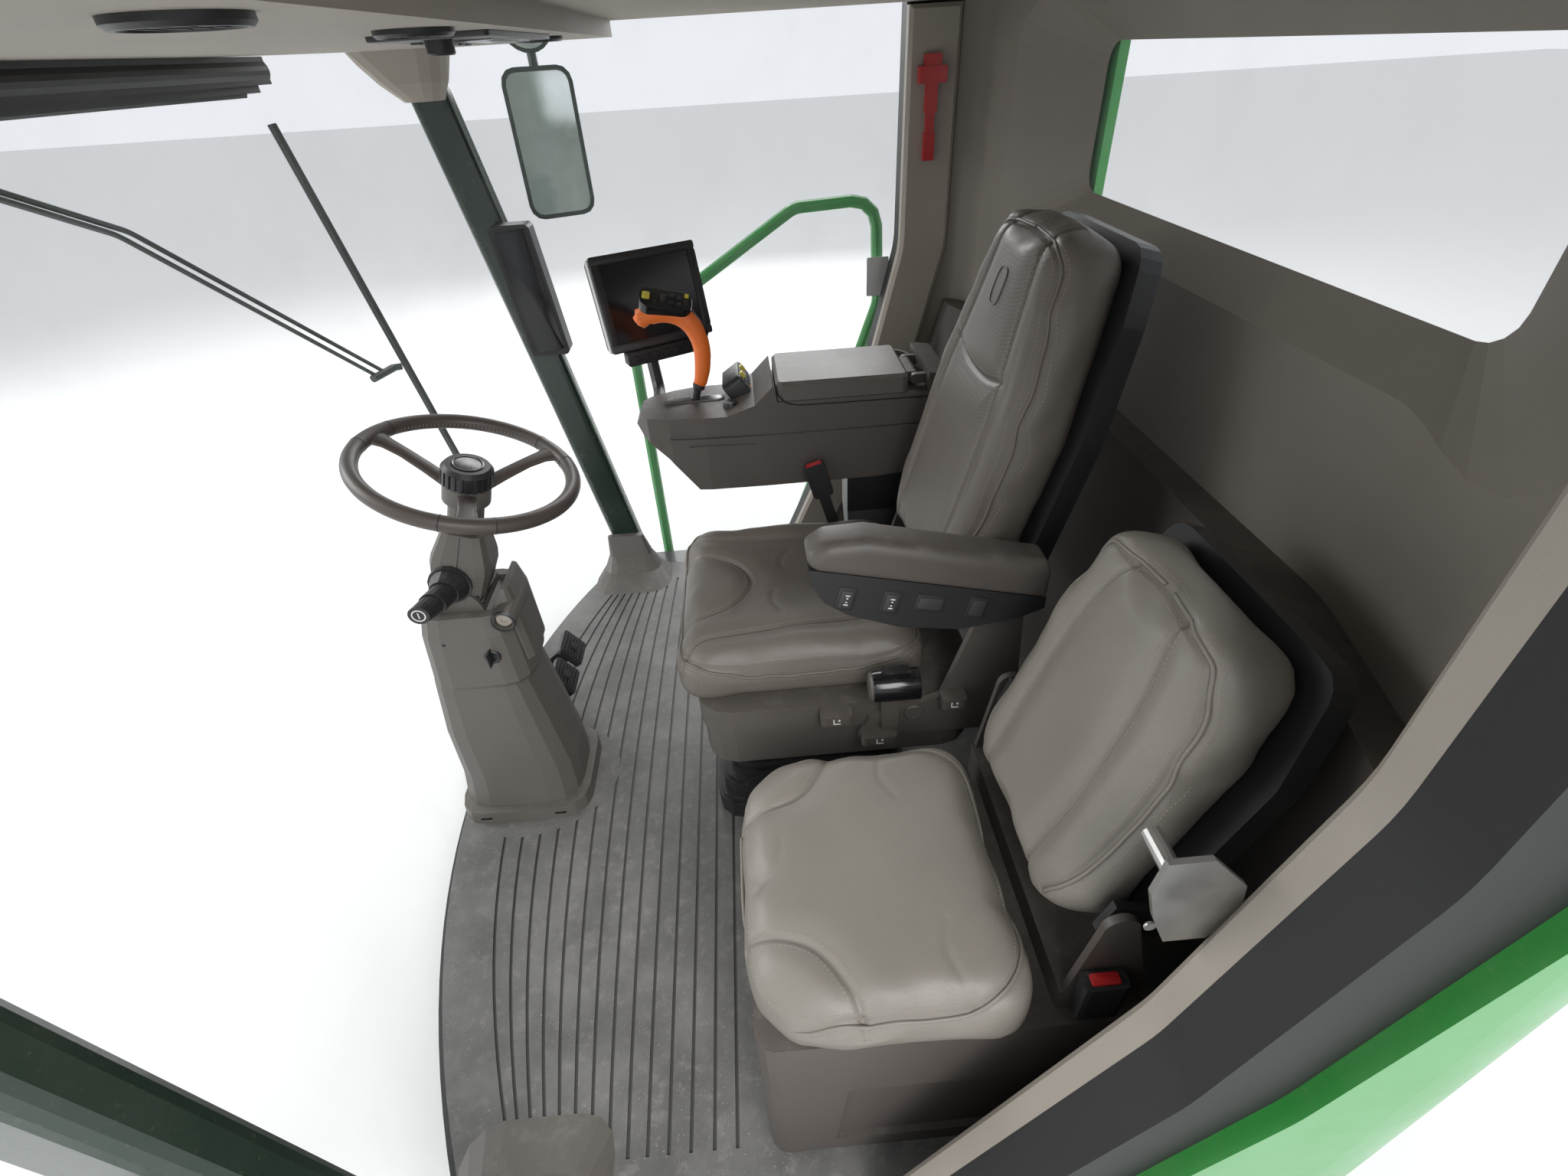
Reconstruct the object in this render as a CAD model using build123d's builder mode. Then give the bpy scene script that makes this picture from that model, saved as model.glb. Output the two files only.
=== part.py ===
"""Operator's cab of a combine harvester, with its left door standing open.

The cab is a module that bolts to the machine through four rubber isolators.
X points forward, Y to the left and Z up, and all sizes are in millimetres.
The origin is the middle of the four isolator bolts, at the underside of the base frame.
"""
from build123d import *
import math
import os

os.makedirs("parts", exist_ok=True)

# Base frame and floor
mount_dx, mount_dy = 1000, 1500   # isolator bolts, along X and Y
mount_r = 11                      # clearance hole for an M20 bolt
frame_h = 120                     # height of the welded base rails
rail_w = 130                      # width of the base rails
pan_t = 20                        # floor plate
mat_t = 10                        # rubber mat
floor_z = frame_h + pan_t
mat_top = floor_z + mat_t

# Plan of the cab, taken at the inner face of the liner
inner_rear = 700                  # from the origin back to the liner
inner_side = 905                  # from the middle to the side liner
wing_x, wing_y = 600, 520         # the rear corners slant between these, on the side and on the back
side_r, back_r = 100, 300         # radii at the two ends of a slanting corner
slant = math.atan2(inner_rear - wing_x, inner_side - wing_y)
liner_t = 20                      # moulded liner
wall_t = 55                       # insulated wall behind the liner
skin_t = 20                       # painted outer quarter panel
outer_side = inner_side + liner_t + wall_t
outer_rear = inner_rear + liner_t + wall_t

# Heights above the mat, where a person stands
head_h = 1500                     # underside of the roof ring
ring_h = 50                       # roof ring beam
head_z = mat_top + head_h
roof_z = head_z + ring_h
ring_w = 100
headliner_t = 20

# Posts
post_w, post_d = 96, 60           # along X and along Y
post_y = outer_side - post_d / 2
front_foot_x = 448                # front post, at the height of the mat
front_lean = 0.192                # the front posts lean forward as they rise
glass_bow = 330                   # the windscreen's middle, ahead of the front posts
glass_t = 6
glass_gap = 3                     # bonding gap between glass and panel edges

# Rear edge of the two side openings, as X and height above the mat, from the top down
rear_edge = [(-430, head_h), (-430, 960), (-345, 620), (-60, -mat_t)]
rear_bend = 220                   # radius of its two bends
rear_post_w = 90
trim_w, trim_t = 125, 36          # moulded trim on the rear posts

# Rear window
window_w, window_low, window_high = 1060, 1130, 1390
recess_w, recess_low, recess_high = 1370, 1075, 1445
window_depth = 60                 # from the liner's face to the glass


def front_post_x(height):
    """X of the middle of a front post, at a height above the mat."""
    return front_foot_x + front_lean * height


def glass_line(height, inset, end_y):
    """Three points of the windscreen's arc at a height above the mat."""
    end_x = front_post_x(height) + post_w / 2 + 4 - inset
    mid_x = front_post_x(height) + glass_bow - inset
    return (end_x, -end_y), (mid_x, 0), (end_x, end_y)


def glass_x(height, y):
    """X of the windscreen's outer face."""
    rise = glass_bow - post_w / 2 - 4
    radius = (outer_side**2 + rise**2) / (2 * rise)
    return front_post_x(height) + glass_bow - radius + math.sqrt(radius**2 - y**2)


def rear_corners(grow):
    """Points of the plan's rear at the liner, grown outwards, from the right side to the left."""
    side_x = -wing_x - grow * (1 - math.sin(slant)) / math.cos(slant)
    back_x = -inner_rear - grow
    side_y = inner_side + grow
    back_y = wing_y + grow * (1 - math.cos(slant)) / math.sin(slant)
    return [(side_x, -side_y), (back_x, -back_y), (back_x, back_y), (side_x, side_y)]


def round_rear(sketch, grow):
    """Round the four rear corners of a plan."""
    by_x = sketch.vertices().sort_by(Axis.X)
    fillet(by_x[:2], back_r + grow)
    fillet([v for v in sketch.vertices() if abs(v.X - rear_corners(grow)[0][0]) < 1], side_r + grow)


def shell_outline(height, grow):
    """The whole cab's plan at a height: slanting rear corners and a bowed front."""
    (end_x, _), (mid_x, _), _ = glass_line(height, glass_t + glass_gap - grow, outer_side)
    reach = liner_t + wall_t + grow
    y0 = inner_side + reach
    with BuildSketch(Plane.XY.offset(mat_top + height)) as sketch:
        with BuildLine():
            Polyline((end_x, -y0), *rear_corners(reach), (end_x, y0))
            ThreePointArc((end_x, y0), (mid_x, 0), (end_x, -y0))
        make_face()
        round_rear(sketch, reach)
    return sketch.sketch


def wall_outline(height, grow, front_x=0):
    """The cab's rear plan at the liner, grown outwards, cut straight off at front_x."""
    y0 = inner_side + grow
    with BuildSketch(Plane.XY.offset(mat_top + height)) as sketch:
        with BuildLine():
            Polyline((front_x, -y0), *rear_corners(grow), (front_x, y0), close=True)
        make_face()
        round_rear(sketch, grow)
    return sketch.sketch


def edge_line(shift, low, high):
    """Points of the side openings' rear edge, moved back by shift, from high down to low."""
    (x1, _), (x2, h2), (x3, h3), (x4, h4) = rear_edge
    slope = (x4 - x3) / (h4 - h3)
    return [(x1 - shift, high), (x2 - shift, h2), (x3 - shift, h3), (x3 - shift + slope * (low - h3), low)]


def edge_sketch(front_shift, back_shift, low, high, y):
    """The band between two copies of that edge, on the upright plane at y."""
    front = [(x, mat_top + h) for x, h in edge_line(front_shift, low, high)]
    back = [(x, mat_top + h) for x, h in edge_line(back_shift, low, high)]
    with BuildSketch(Plane.XZ.offset(-y)) as sketch:
        with BuildLine():
            FilletPolyline(*front, radius=rear_bend)
            Line(front[-1], back[-1])
            FilletPolyline(*reversed(back), radius=rear_bend)
            Line(back[0], front[0])
        make_face()
    return sketch.sketch


def soft_rect(length, width, corner, flats=3):
    """A rectangle whose rounded corners are drawn as a few flats, for forms that need few facets."""
    points = []
    for along, across, start in ((1, 1, 0), (-1, 1, 90), (-1, -1, 180), (1, -1, 270)):
        for i in range(flats + 1):
            turn = math.radians(start + 90 * i / flats)
            points.append((along * (length / 2 - corner) + corner * math.cos(turn),
                           across * (width / 2 - corner) + corner * math.sin(turn)))
    return Polygon(*points, align=None)


def bent(points, bend, chords=3):
    """A path whose corners are rounded to a radius, in chords."""
    path = [Vector(*points[0])]
    for before, corner, after in zip(points, points[1:], points[2:]):
        corner = Vector(*corner)
        back = (Vector(*before) - corner).normalized()
        on = (Vector(*after) - corner).normalized()
        half = math.radians(back.get_angle(on)) / 2
        middle = corner + (back + on).normalized() * (bend / math.sin(half))
        start = corner + back * (bend / math.tan(half)) - middle
        end = corner + on * (bend / math.tan(half)) - middle
        sweep_angle = math.radians(start.get_angle(end))
        for i in range(chords + 1):
            turn = sweep_angle * i / chords
            arm = (start * math.sin(sweep_angle - turn) + end * math.sin(turn)) * (1 / math.sin(sweep_angle))
            path.append(middle + arm)
    return [*path, Vector(*points[-1])]


def tube(points, radius, bend=0, sides=10):
    """A round bar drawn with flat sides, lofted from one mitred section to the next."""
    path = bent(points, bend) if len(points) > 2 else [Vector(*point) for point in points]
    ways = [(after - at).normalized() for at, after in zip(path, path[1:])]
    start = Plane(origin=path[0], z_dir=ways[0])
    turns = [2 * math.pi * i / sides for i in range(sides)]
    ring = [start.from_local_coords(Vector(radius * math.cos(a), radius * math.sin(a))) for a in turns]
    sections = [ring]
    for at, way, onward in zip(path[1:], ways, [*ways[1:], ways[-1]]):
        mitre = (way + onward).normalized()
        ring = [point + way * ((at - point).dot(mitre) / way.dot(mitre)) for point in ring]
        sections.append(ring)
    with BuildPart() as bar:
        for ring in sections:
            add(Face(Wire.make_polygon(ring)))
        loft(ruled=True)
    return bar.part


def save(builder, name):
    """Label a finished piece and write it."""
    builder.part.label = name
    export_step(builder.part, f"parts/{name}.step")


# Base frame: a welded rectangle of box rails with a middle cross rail and four bolt holes
frame_l = mount_dx + rail_w
frame_b = mount_dy + rail_w
bay_l = (frame_l - 3 * rail_w) / 2
bay_b = frame_b - 2 * rail_w
with BuildPart() as base_frame:
    with BuildSketch():
        Rectangle(frame_l, frame_b)
        with GridLocations(bay_l + rail_w, 0, 2, 1):
            Rectangle(bay_l, bay_b, mode=Mode.SUBTRACT)
    extrude(amount=frame_h)
    with GridLocations(mount_dx, mount_dy, 2, 2):
        Hole(mount_r)
save(base_frame, "base_frame")

# Floor pan: its front edge follows the bottom of the windscreen
with BuildPart() as floor_pan:
    add(shell_outline(-mat_t - pan_t, 0))
    extrude(amount=pan_t, dir=(0, 0, 1))
save(floor_pan, "floor_pan")

# Front posts: two leaning tubes from the floor to the roof ring
with BuildPart() as front_posts:
    for side in (-1, 1):
        for height in (-mat_t, head_h):
            with BuildSketch(Plane.XY.offset(mat_top + height)):
                with Locations((front_post_x(height), side * post_y)):
                    soft_rect(post_w, post_d, 18)
        loft(ruled=True)
save(front_posts, "front_posts")

# Rear posts: bent tubes that follow the rear edge of the side openings
with BuildPart() as rear_posts:
    for side in (-1, 1):
        add(edge_sketch(0, rear_post_w, -mat_t, head_h, side * post_y))
        extrude(amount=post_d / 2, dir=(0, 1, 0), both=True)
save(rear_posts, "rear_posts")

window_mid = mat_top + (window_low + window_high) / 2
pane_w, pane_h = window_w + 40, window_high - window_low + 40
reveal_t, reveal_near = 12, 60


def window_cone(grow):
    """The sloping space in front of the rear window, grown outwards."""
    with BuildPart() as cone:
        for x, width, low, high, corner in (
            (-inner_rear + reveal_near, recess_w + 120, recess_low - 60, recess_high + 60, 110),
            (-inner_rear - window_depth, window_w, window_low, window_high, 40),
        ):
            with BuildSketch(Plane.YZ.offset(x)):
                with Locations((0, mat_top + (low + high) / 2)):
                    soft_rect(width + 2 * grow, high - low + 2 * grow, corner + grow, 4)
        loft(ruled=True)
    return cone.part


# Rear wall: one insulated shell round the back, open at the rear window
full_h = head_h + mat_t
with BuildPart() as behind_posts:
    for side in (-1, 1):
        add(edge_sketch(-2000, rear_post_w, -200, head_h + ring_h, 0))
        extrude(amount=outer_side + 200, dir=(0, side, 0))
with BuildPart() as rear_wall:
    add(wall_outline(-mat_t, liner_t + wall_t))
    extrude(amount=full_h, dir=(0, 0, 1))
    add(wall_outline(-mat_t, liner_t))
    extrude(amount=full_h, dir=(0, 0, 1), mode=Mode.SUBTRACT)
    add(behind_posts.part, mode=Mode.SUBTRACT)
    add(window_cone(reveal_t + 1), mode=Mode.SUBTRACT)
    with BuildSketch(Plane.YZ.offset(-inner_rear - window_depth)):
        with Locations((0, window_mid)):
            RectangleRounded(pane_w + 2, pane_h + 2, 56)
    extrude(amount=-wall_t, mode=Mode.SUBTRACT)
save(rear_wall, "rear_wall")

# Rear liner: moulded shell inside the wall, sunk in a sloping frame round the rear window
liner_back = trim_w + 3
with BuildPart() as before_liner:
    for side in (-1, 1):
        add(edge_sketch(-2000, liner_back, -mat_t - pan_t, head_h + ring_h, 0))
        extrude(amount=outer_side + 200, dir=(0, side, 0))
with BuildPart() as rear_liner:
    add(wall_outline(-mat_t, liner_t))
    extrude(amount=full_h - headliner_t, dir=(0, 0, 1))
    add(window_cone(reveal_t))
    add(wall_outline(-mat_t, 0))
    extrude(amount=full_h + 200, dir=(0, 0, 1), mode=Mode.SUBTRACT)
    add(before_liner.part, mode=Mode.SUBTRACT)
    add(window_cone(0), mode=Mode.SUBTRACT)
save(rear_liner, "rear_liner")

with BuildPart() as rear_glass:
    with BuildSketch(Plane.YZ.offset(-inner_rear - window_depth - glass_t)):
        with Locations((0, window_mid)):
            RectangleRounded(pane_w, pane_h, 55)
    extrude(amount=glass_t)
save(rear_glass, "rear_glass")

# Quarter panels: the painted outer skin behind each side opening
with BuildPart() as quarter_panels:
    add(wall_outline(-mat_t - pan_t - 60, liner_t + wall_t + skin_t))
    extrude(amount=full_h + pan_t + 50, dir=(0, 0, 1))
    add(wall_outline(-mat_t - pan_t - 60, liner_t + wall_t))
    extrude(amount=full_h + pan_t + 50, dir=(0, 0, 1), mode=Mode.SUBTRACT)
    add(behind_posts.part, mode=Mode.SUBTRACT)
    with BuildSketch(Plane.YZ.offset(-outer_rear - skin_t - 1)):
        with Locations((0, mat_top + head_h / 2)):
            Rectangle(2 * wing_y, 2 * full_h)
    extrude(amount=outer_rear, mode=Mode.SUBTRACT)
    with BuildSketch(Plane.XY.offset(frame_h - 60)):
        Rectangle(4000, 4000)
    extrude(amount=-400, mode=Mode.SUBTRACT)
save(quarter_panels, "quarter_panels")

# Trim on the inner face of the rear posts
with BuildPart() as post_trims:
    for side in (-1, 1):
        add(edge_sketch(0, trim_w, 0, head_h - 25, side * (outer_side - post_d)))
        extrude(amount=trim_t, dir=(0, -side, 0))
    chamfer(post_trims.faces().filter_by(GeomType.PLANE).filter_by(Axis.Y).group_by(
        lambda face: abs(face.center().Y))[0].edges(), 9)
save(post_trims, "post_trims")

# Shelf cover: a plain moulded box round the foot of the rear wall
cover_h, cover_t = 820, 55
with BuildPart() as before_cover:
    for side in (-1, 1):
        add(edge_sketch(-2000, trim_w + 40, -mat_t - pan_t, head_h, 0))
        extrude(amount=outer_side + 200, dir=(0, side, 0))
with BuildPart() as shelf_cover:
    add(wall_outline(0, 0))
    extrude(amount=cover_h, dir=(0, 0, 1))
    add(wall_outline(0, -cover_t))
    extrude(amount=cover_h, dir=(0, 0, 1), mode=Mode.SUBTRACT)
    add(before_cover.part, mode=Mode.SUBTRACT)
save(shelf_cover, "shelf_cover")

# Windscreen: one bowed pane that leans with the front posts
with BuildPart() as windscreen:
    for height in (-mat_t - pan_t, head_h + ring_h - 10):
        outer = glass_line(height, 0, outer_side)
        inner = glass_line(height, glass_t, outer_side)
        with BuildSketch(Plane.XY.offset(mat_top + height)):
            with BuildLine():
                ThreePointArc(*outer)
                Line(outer[2], inner[2])
                ThreePointArc(inner[2], inner[1], inner[0])
                Line(inner[0], outer[0])
            make_face()
    loft()
save(windscreen, "windscreen")

# Right glass: one fixed pane bonded over the posts
glass_low = -mat_t - pan_t
with BuildPart() as right_glass:
    back = [(x, mat_top + h) for x, h in edge_line(30, glass_low, head_h + 30)]
    front = [(front_post_x(h) + post_w / 2, mat_top + h) for h in (glass_low, head_h + 30)]
    with BuildSketch(Plane.XZ.offset(outer_side)):
        with BuildLine():
            FilletPolyline(*back, radius=rear_bend)
            Polyline(back[-1], front[0], front[1], back[0])
        make_face()
    extrude(amount=glass_t)
save(right_glass, "right_glass")

# Roof: ring beam on the posts, headliner under it and a hollow shell over it
with BuildPart() as roof_ring:
    add(shell_outline(head_h, 0))
    extrude(amount=ring_h, dir=(0, 0, 1))
    add(shell_outline(head_h, -ring_w))
    extrude(amount=ring_h, dir=(0, 0, 1), mode=Mode.SUBTRACT)
save(roof_ring, "roof_ring")

liner_gap = 2
with BuildPart() as headliner:
    add(shell_outline(head_h - headliner_t, inner_side - outer_side - liner_gap))
    extrude(amount=headliner_t, dir=(0, 0, 1))
save(headliner, "headliner")

roof_h, roof_skin = 210, 8
roof_rear, roof_front, roof_side, roof_bow = 900, 1130, 1045, 120
roof_round = 70


def roof_outline(grow):
    """The roof's plan: rounded corners and a front that bows a little."""
    with BuildSketch() as sketch:
        with BuildLine():
            Polyline((roof_front + grow, -roof_side - grow), (-roof_rear - grow, -roof_side - grow),
                     (-roof_rear - grow, roof_side + grow), (roof_front + grow, roof_side + grow))
            ThreePointArc((roof_front + grow, roof_side + grow), (roof_front + roof_bow + grow, 0),
                          (roof_front + grow, -roof_side - grow))
        make_face()
        fillet(sketch.vertices(), 160 + grow)
    return sketch.sketch


with BuildPart() as roof_void:
    with BuildSketch(Plane.XY.offset(roof_z + roof_skin)):
        add(roof_outline(-roof_skin))
    extrude(amount=roof_h - 2 * roof_skin)
    chamfer(roof_void.edges().group_by(Axis.Z)[-1], roof_round - roof_skin)
with BuildPart() as roof_shell:
    with BuildSketch(Plane.XY.offset(roof_z)):
        add(roof_outline(0))
    extrude(amount=roof_h)
    chamfer(roof_shell.edges().group_by(Axis.Z)[-1], roof_round * 0.6)
    chamfer(roof_shell.edges().group_by(Axis.Z)[-1], roof_round * 0.3)
    add(roof_void.part, mode=Mode.SUBTRACT)
    add(shell_outline(head_h + ring_h, -ring_w / 2))
    extrude(amount=roof_skin, dir=(0, 0, 1), mode=Mode.SUBTRACT)
save(roof_shell, "roof_shell")

# Left door: drawn on its own plane, which turns about the hinge line
hinge_x, hinge_y = 790, outer_side + 30
hinge_heights = (330, 1230)
pin_r = 8
run_clear = 0.05                  # running clearance round every pin, shaft and barrel
knuckle_r, knuckle_h = 17, 26
arm_root = 26                     # seat of a hinge arm on the post's outer face
door_open = 100                   # degrees from closed
door_gap = 5                      # from the posts' outer face to the closed door
door_t, door_rim = 34, 58
door_glass_t = 5
door_turn = math.radians(180 - door_open)
door_dir = (math.cos(door_turn), math.sin(door_turn), 0)
door_out = (math.sin(door_turn), -math.cos(door_turn), 0)
door_plane = Plane(origin=(hinge_x, hinge_y, mat_top), x_dir=door_dir, z_dir=door_out)
door_inner = outer_side + door_gap - hinge_y
door_low, door_high = -mat_t - pan_t + 4, head_h - 12
door_lap = 22                     # how far the door covers the posts


def door_outline():
    """The door's outline, as distance behind the hinge and height above the mat."""
    front = [(hinge_x - front_post_x(h) - door_lap, h) for h in (door_low, door_high)]
    rear = [(hinge_x - x, h) for x, h in edge_line(door_lap, door_low, door_high)]
    with BuildSketch() as sketch:
        with BuildLine():
            Polyline(*front, *rear, close=True)
        make_face()
        fillet([sketch.vertices().sort_by_distance(point)[0] for point in rear[1:3]], rear_bend)
        fillet([sketch.vertices().sort_by_distance(point)[0] for point in (*front, rear[0], rear[3])], 40)
    return sketch.sketch


with BuildPart() as door_frame:
    with BuildSketch(door_plane.offset(door_inner)):
        add(door_outline())
        offset(door_outline(), amount=-door_rim, kind=Kind.ARC, mode=Mode.SUBTRACT)
    extrude(amount=door_t)
    for height in hinge_heights:
        leaf = Plane(origin=(hinge_x, hinge_y, mat_top + height), x_dir=door_dir, z_dir=(0, 0, 1))
        reach = hinge_x - front_post_x(height)
        with BuildSketch(leaf):
            Circle(knuckle_r)
            with Locations((reach + 10, -door_inner - door_t / 2)):
                Rectangle(36, door_t)
            make_hull()
        extrude(amount=knuckle_h)
        with BuildSketch(leaf):
            Circle(pin_r + run_clear)
        extrude(amount=knuckle_h, mode=Mode.SUBTRACT)
save(door_frame, "door_frame")

with BuildPart() as door_glass:
    with BuildSketch(door_plane.offset(door_inner + (door_t - door_glass_t) / 2)):
        offset(door_outline(), amount=-door_rim, kind=Kind.ARC)
    extrude(amount=door_glass_t)
save(door_glass, "door_glass")

# Door handle: an upright bar on the inside of the rim, at the edge that opens
handle_x, handle_low, handle_high = 1199, 1020, 1400
stand_off = 52
with BuildPart() as door_handle:
    on_door = door_plane.offset(door_inner)
    add(tube([tuple(on_door.from_local_coords(Vector(*point))) for point in (
        (handle_x, handle_low, 0), (handle_x, handle_low, -stand_off),
        (handle_x, handle_high, -stand_off), (handle_x, handle_high, 0))], 10, 18))
save(door_handle, "door_handle")

# Hinge arms: two tapered arms forward from the left front post, each with its pin
with BuildPart() as hinge_arms:
    for height in hinge_heights:
        root_x = front_post_x(height) + door_lap + 8
        with BuildSketch(Plane.XY.offset(mat_top + height - knuckle_h - 1)):
            with Locations((hinge_x, hinge_y)):
                Circle(knuckle_r)
            with Locations((root_x, outer_side)):
                Rectangle(arm_root, 14, align=Align.MIN)
            make_hull()
        extrude(amount=knuckle_h)
        with BuildSketch(Plane.XY.offset(mat_top + height - knuckle_h - 1)):
            with Locations((hinge_x, hinge_y)):
                Circle(pin_r)
        extrude(amount=2 * knuckle_h + 8)
save(hinge_arms, "hinge_arms")

# Floor mat: rubber with grooves across it, straight at the back and bowed at the front
mat_margin = 12
groove_first, groove_pitch, groove_count = 121, 41, 14
groove_w, groove_deep = 6, 3
groove_bow, groove_y = 170, 800    # how far the foremost groove falls back at groove_y
column_x, column_keep = 606, 205   # column pedestal, and the smooth patch round it
with BuildPart() as floor_mat:
    add(shell_outline(-mat_t, -mat_margin))
    extrude(amount=mat_t, dir=(0, 0, 1))
    add(wall_outline(-mat_t, -mat_margin, 2 * inner_side))
    extrude(amount=mat_t, dir=(0, 0, 1), mode=Mode.INTERSECT)
    for i in range(groove_count):
        x = groove_first + i * groove_pitch
        fall = groove_bow * (i / (groove_count - 1)) ** 2
        with BuildSketch(Plane.XY.offset(mat_top - groove_deep)) as groove:
            if fall < 1:
                with Locations((x, 0)):
                    Rectangle(groove_w, 2 * groove_y)
            else:
                with BuildLine():
                    ThreePointArc((x - fall, -groove_y), (x, 0), (x - fall, groove_y))
                    Line((x - fall, groove_y), (x - fall - groove_w, groove_y))
                    ThreePointArc((x - fall - groove_w, groove_y), (x - groove_w, 0), (x - fall - groove_w, -groove_y))
                    Line((x - fall - groove_w, -groove_y), (x - fall, -groove_y))
                make_face()
            with Locations((column_x, 0)):
                Ellipse(column_keep, column_keep * 0.85, mode=Mode.SUBTRACT)
        extrude(amount=groove_deep, mode=Mode.SUBTRACT)
save(floor_mat, "floor_mat")

# Boots: moulded covers that flare out from the inner face of the front posts' feet
boot_sections = (   # height above the mat, length along X, depth inwards, corner radius
    (0, 250, 190, 60),
    (22, 190, 105, 45),
    (55, 145, 50, 22),
    (115, 118, 20, 8),
)
with BuildPart() as post_boots:
    for side in (-1, 1):
        for height, length, depth, corner in boot_sections:
            with BuildSketch(Plane.XY.offset(mat_top + height)):
                with Locations((front_post_x(height) - 4, side * (outer_side - post_d - depth / 2))):
                    soft_rect(length, depth, corner)
        loft(ruled=True)
    add(shell_outline(0, -glass_gap))
    extrude(amount=200, dir=(0, 0, 1), mode=Mode.INTERSECT)
save(post_boots, "post_boots")

# Steering column: a fixed pedestal, a tilting head and the wheel, all on one leaning axis
barrel_r, barrel_w = 58, 118       # barrel joint under the head
shaft_r, shaft_in = 10, 24         # steering shaft, and how far it enters the hub
wheel_x, wheel_h = 518, 838        # middle of the rim
wheel_tilt = 18.6
wheel_r, rim_r = 183, 14
tilt_pivot_h = 560                 # height of the pivot that the head tilts about
lean = math.tan(math.radians(wheel_tilt))
tilt_pivot_x = wheel_x + (wheel_h - tilt_pivot_h) * lean
pedestal_sections = (   # height above the mat, X of the middle, length along X, width along Y, corner
    (0, 606, 300, 262, 60),
    (34, 606, 296, 256, 60),
)
neck_sections = (
    (34, 612, 276, 220, 70),
    (120, 606, 262, 204, 66),
    (250, 612, 242, 190, 60),
    (398, 612, 200, 172, 50),
)
cover_sections = (
    (388, 604, 204, 178, 50),
    (398, 603, 210, 186, 52),
    (520, 598, 192, 180, 50),
    (566, 594, 176, 164, 46),
)
hump_sections = (    # the rear of the cover rises behind the head, round the ignition switch
    (430, 520, 66, 120, 26),
    (560, 522, 60, 128, 26),
    (604, 518, 34, 100, 14),
)
head_sections = (   # height up the head's own axis, length, width, corner
    (34, 96, 104, 20),
    (96, 112, 110, 26),
    (114, 108, 106, 24),
    (172, 76, 78, 18),
)
slot_w = barrel_w + 2              # slot between the cheeks that hold the barrel
slot_back = 22                     # how far the slot runs on behind the barrel, for the tilting head
tilt_back, swing_clear = 12, 5     # rearmost tilt of the head, and its clearance there
switch_x, switch_h, switch_r = 512, 556, 27    # round boss of a switch on the cover's left
with BuildPart() as column_pedestal:
    for table in (pedestal_sections, neck_sections, cover_sections, hump_sections):
        for height, x, length, width, corner in table:
            with BuildSketch(Plane.XY.offset(mat_top + height)):
                with Locations((x, 0)):
                    soft_rect(length, width, corner)
        loft(ruled=True)
    with BuildSketch(Plane.XZ):
        with Locations((switch_x, mat_top + switch_h)):
            RegularPolygon(switch_r, 14)
    extrude(amount=90, dir=(0, 1, 0), taper=4)
    with BuildSketch(Plane.XZ.offset(-72)):
        with Locations((switch_x, mat_top + switch_h)):
            RegularPolygon(switch_r - 9, 14)
    extrude(amount=30, dir=(0, 1, 0), mode=Mode.SUBTRACT)
    with BuildSketch(Plane.XZ):
        with Locations((tilt_pivot_x, mat_top + tilt_pivot_h)):
            Circle(barrel_r + run_clear)
    extrude(amount=slot_w / 2, both=True, mode=Mode.SUBTRACT)
    with BuildSketch(Plane.XY.offset(mat_top + tilt_pivot_h)):
        with Locations((tilt_pivot_x - slot_back / 2, 0)):
            Rectangle(2 * (barrel_r + run_clear) + slot_back, slot_w)
    extrude(amount=100, mode=Mode.SUBTRACT)
    # Room for the head where it leans back farthest
    rear_lean = math.tan(math.radians(wheel_tilt + tilt_back))
    rear_plane = Plane(origin=(tilt_pivot_x, 0, mat_top + tilt_pivot_h), x_dir=(1, 0, rear_lean),
                       z_dir=(-rear_lean, 0, 1))
    with BuildSketch(rear_plane.offset(head_sections[0][0] - swing_clear)):
        Rectangle(head_sections[1][1] + 2 * swing_clear, slot_w)
    extrude(amount=100, mode=Mode.SUBTRACT)
save(column_pedestal, "column_pedestal")

head_plane = Plane(origin=(tilt_pivot_x, 0, mat_top + tilt_pivot_h), x_dir=(1, 0, lean),
                   z_dir=(-lean, 0, 1))
wheel_up = (wheel_h - tilt_pivot_h) / math.cos(math.radians(wheel_tilt))
wheel_plane = head_plane.offset(wheel_up)
hub_drop = 62                      # how far the rim stands above the hub's foot
hub_r, hub_h = 42, 36
with BuildPart() as column_head:
    with BuildSketch(Plane.XZ):
        with Locations((tilt_pivot_x, mat_top + tilt_pivot_h)):
            Circle(barrel_r)
    extrude(amount=barrel_w / 2, both=True)
    for up, length, width, corner in head_sections:
        with BuildSketch(head_plane.offset(up)):
            soft_rect(length, width, corner, 2)
    loft(ruled=True)
    with BuildSketch(head_plane.offset(head_sections[-1][0])):
        RegularPolygon(32, 16)
    extrude(amount=wheel_up - head_sections[-1][0] - hub_drop - 2)
    with BuildSketch(head_plane.offset(head_sections[-1][0])):
        Circle(shaft_r)
    extrude(amount=wheel_up - head_sections[-1][0] - hub_drop + shaft_in)
save(column_head, "column_head")

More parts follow.
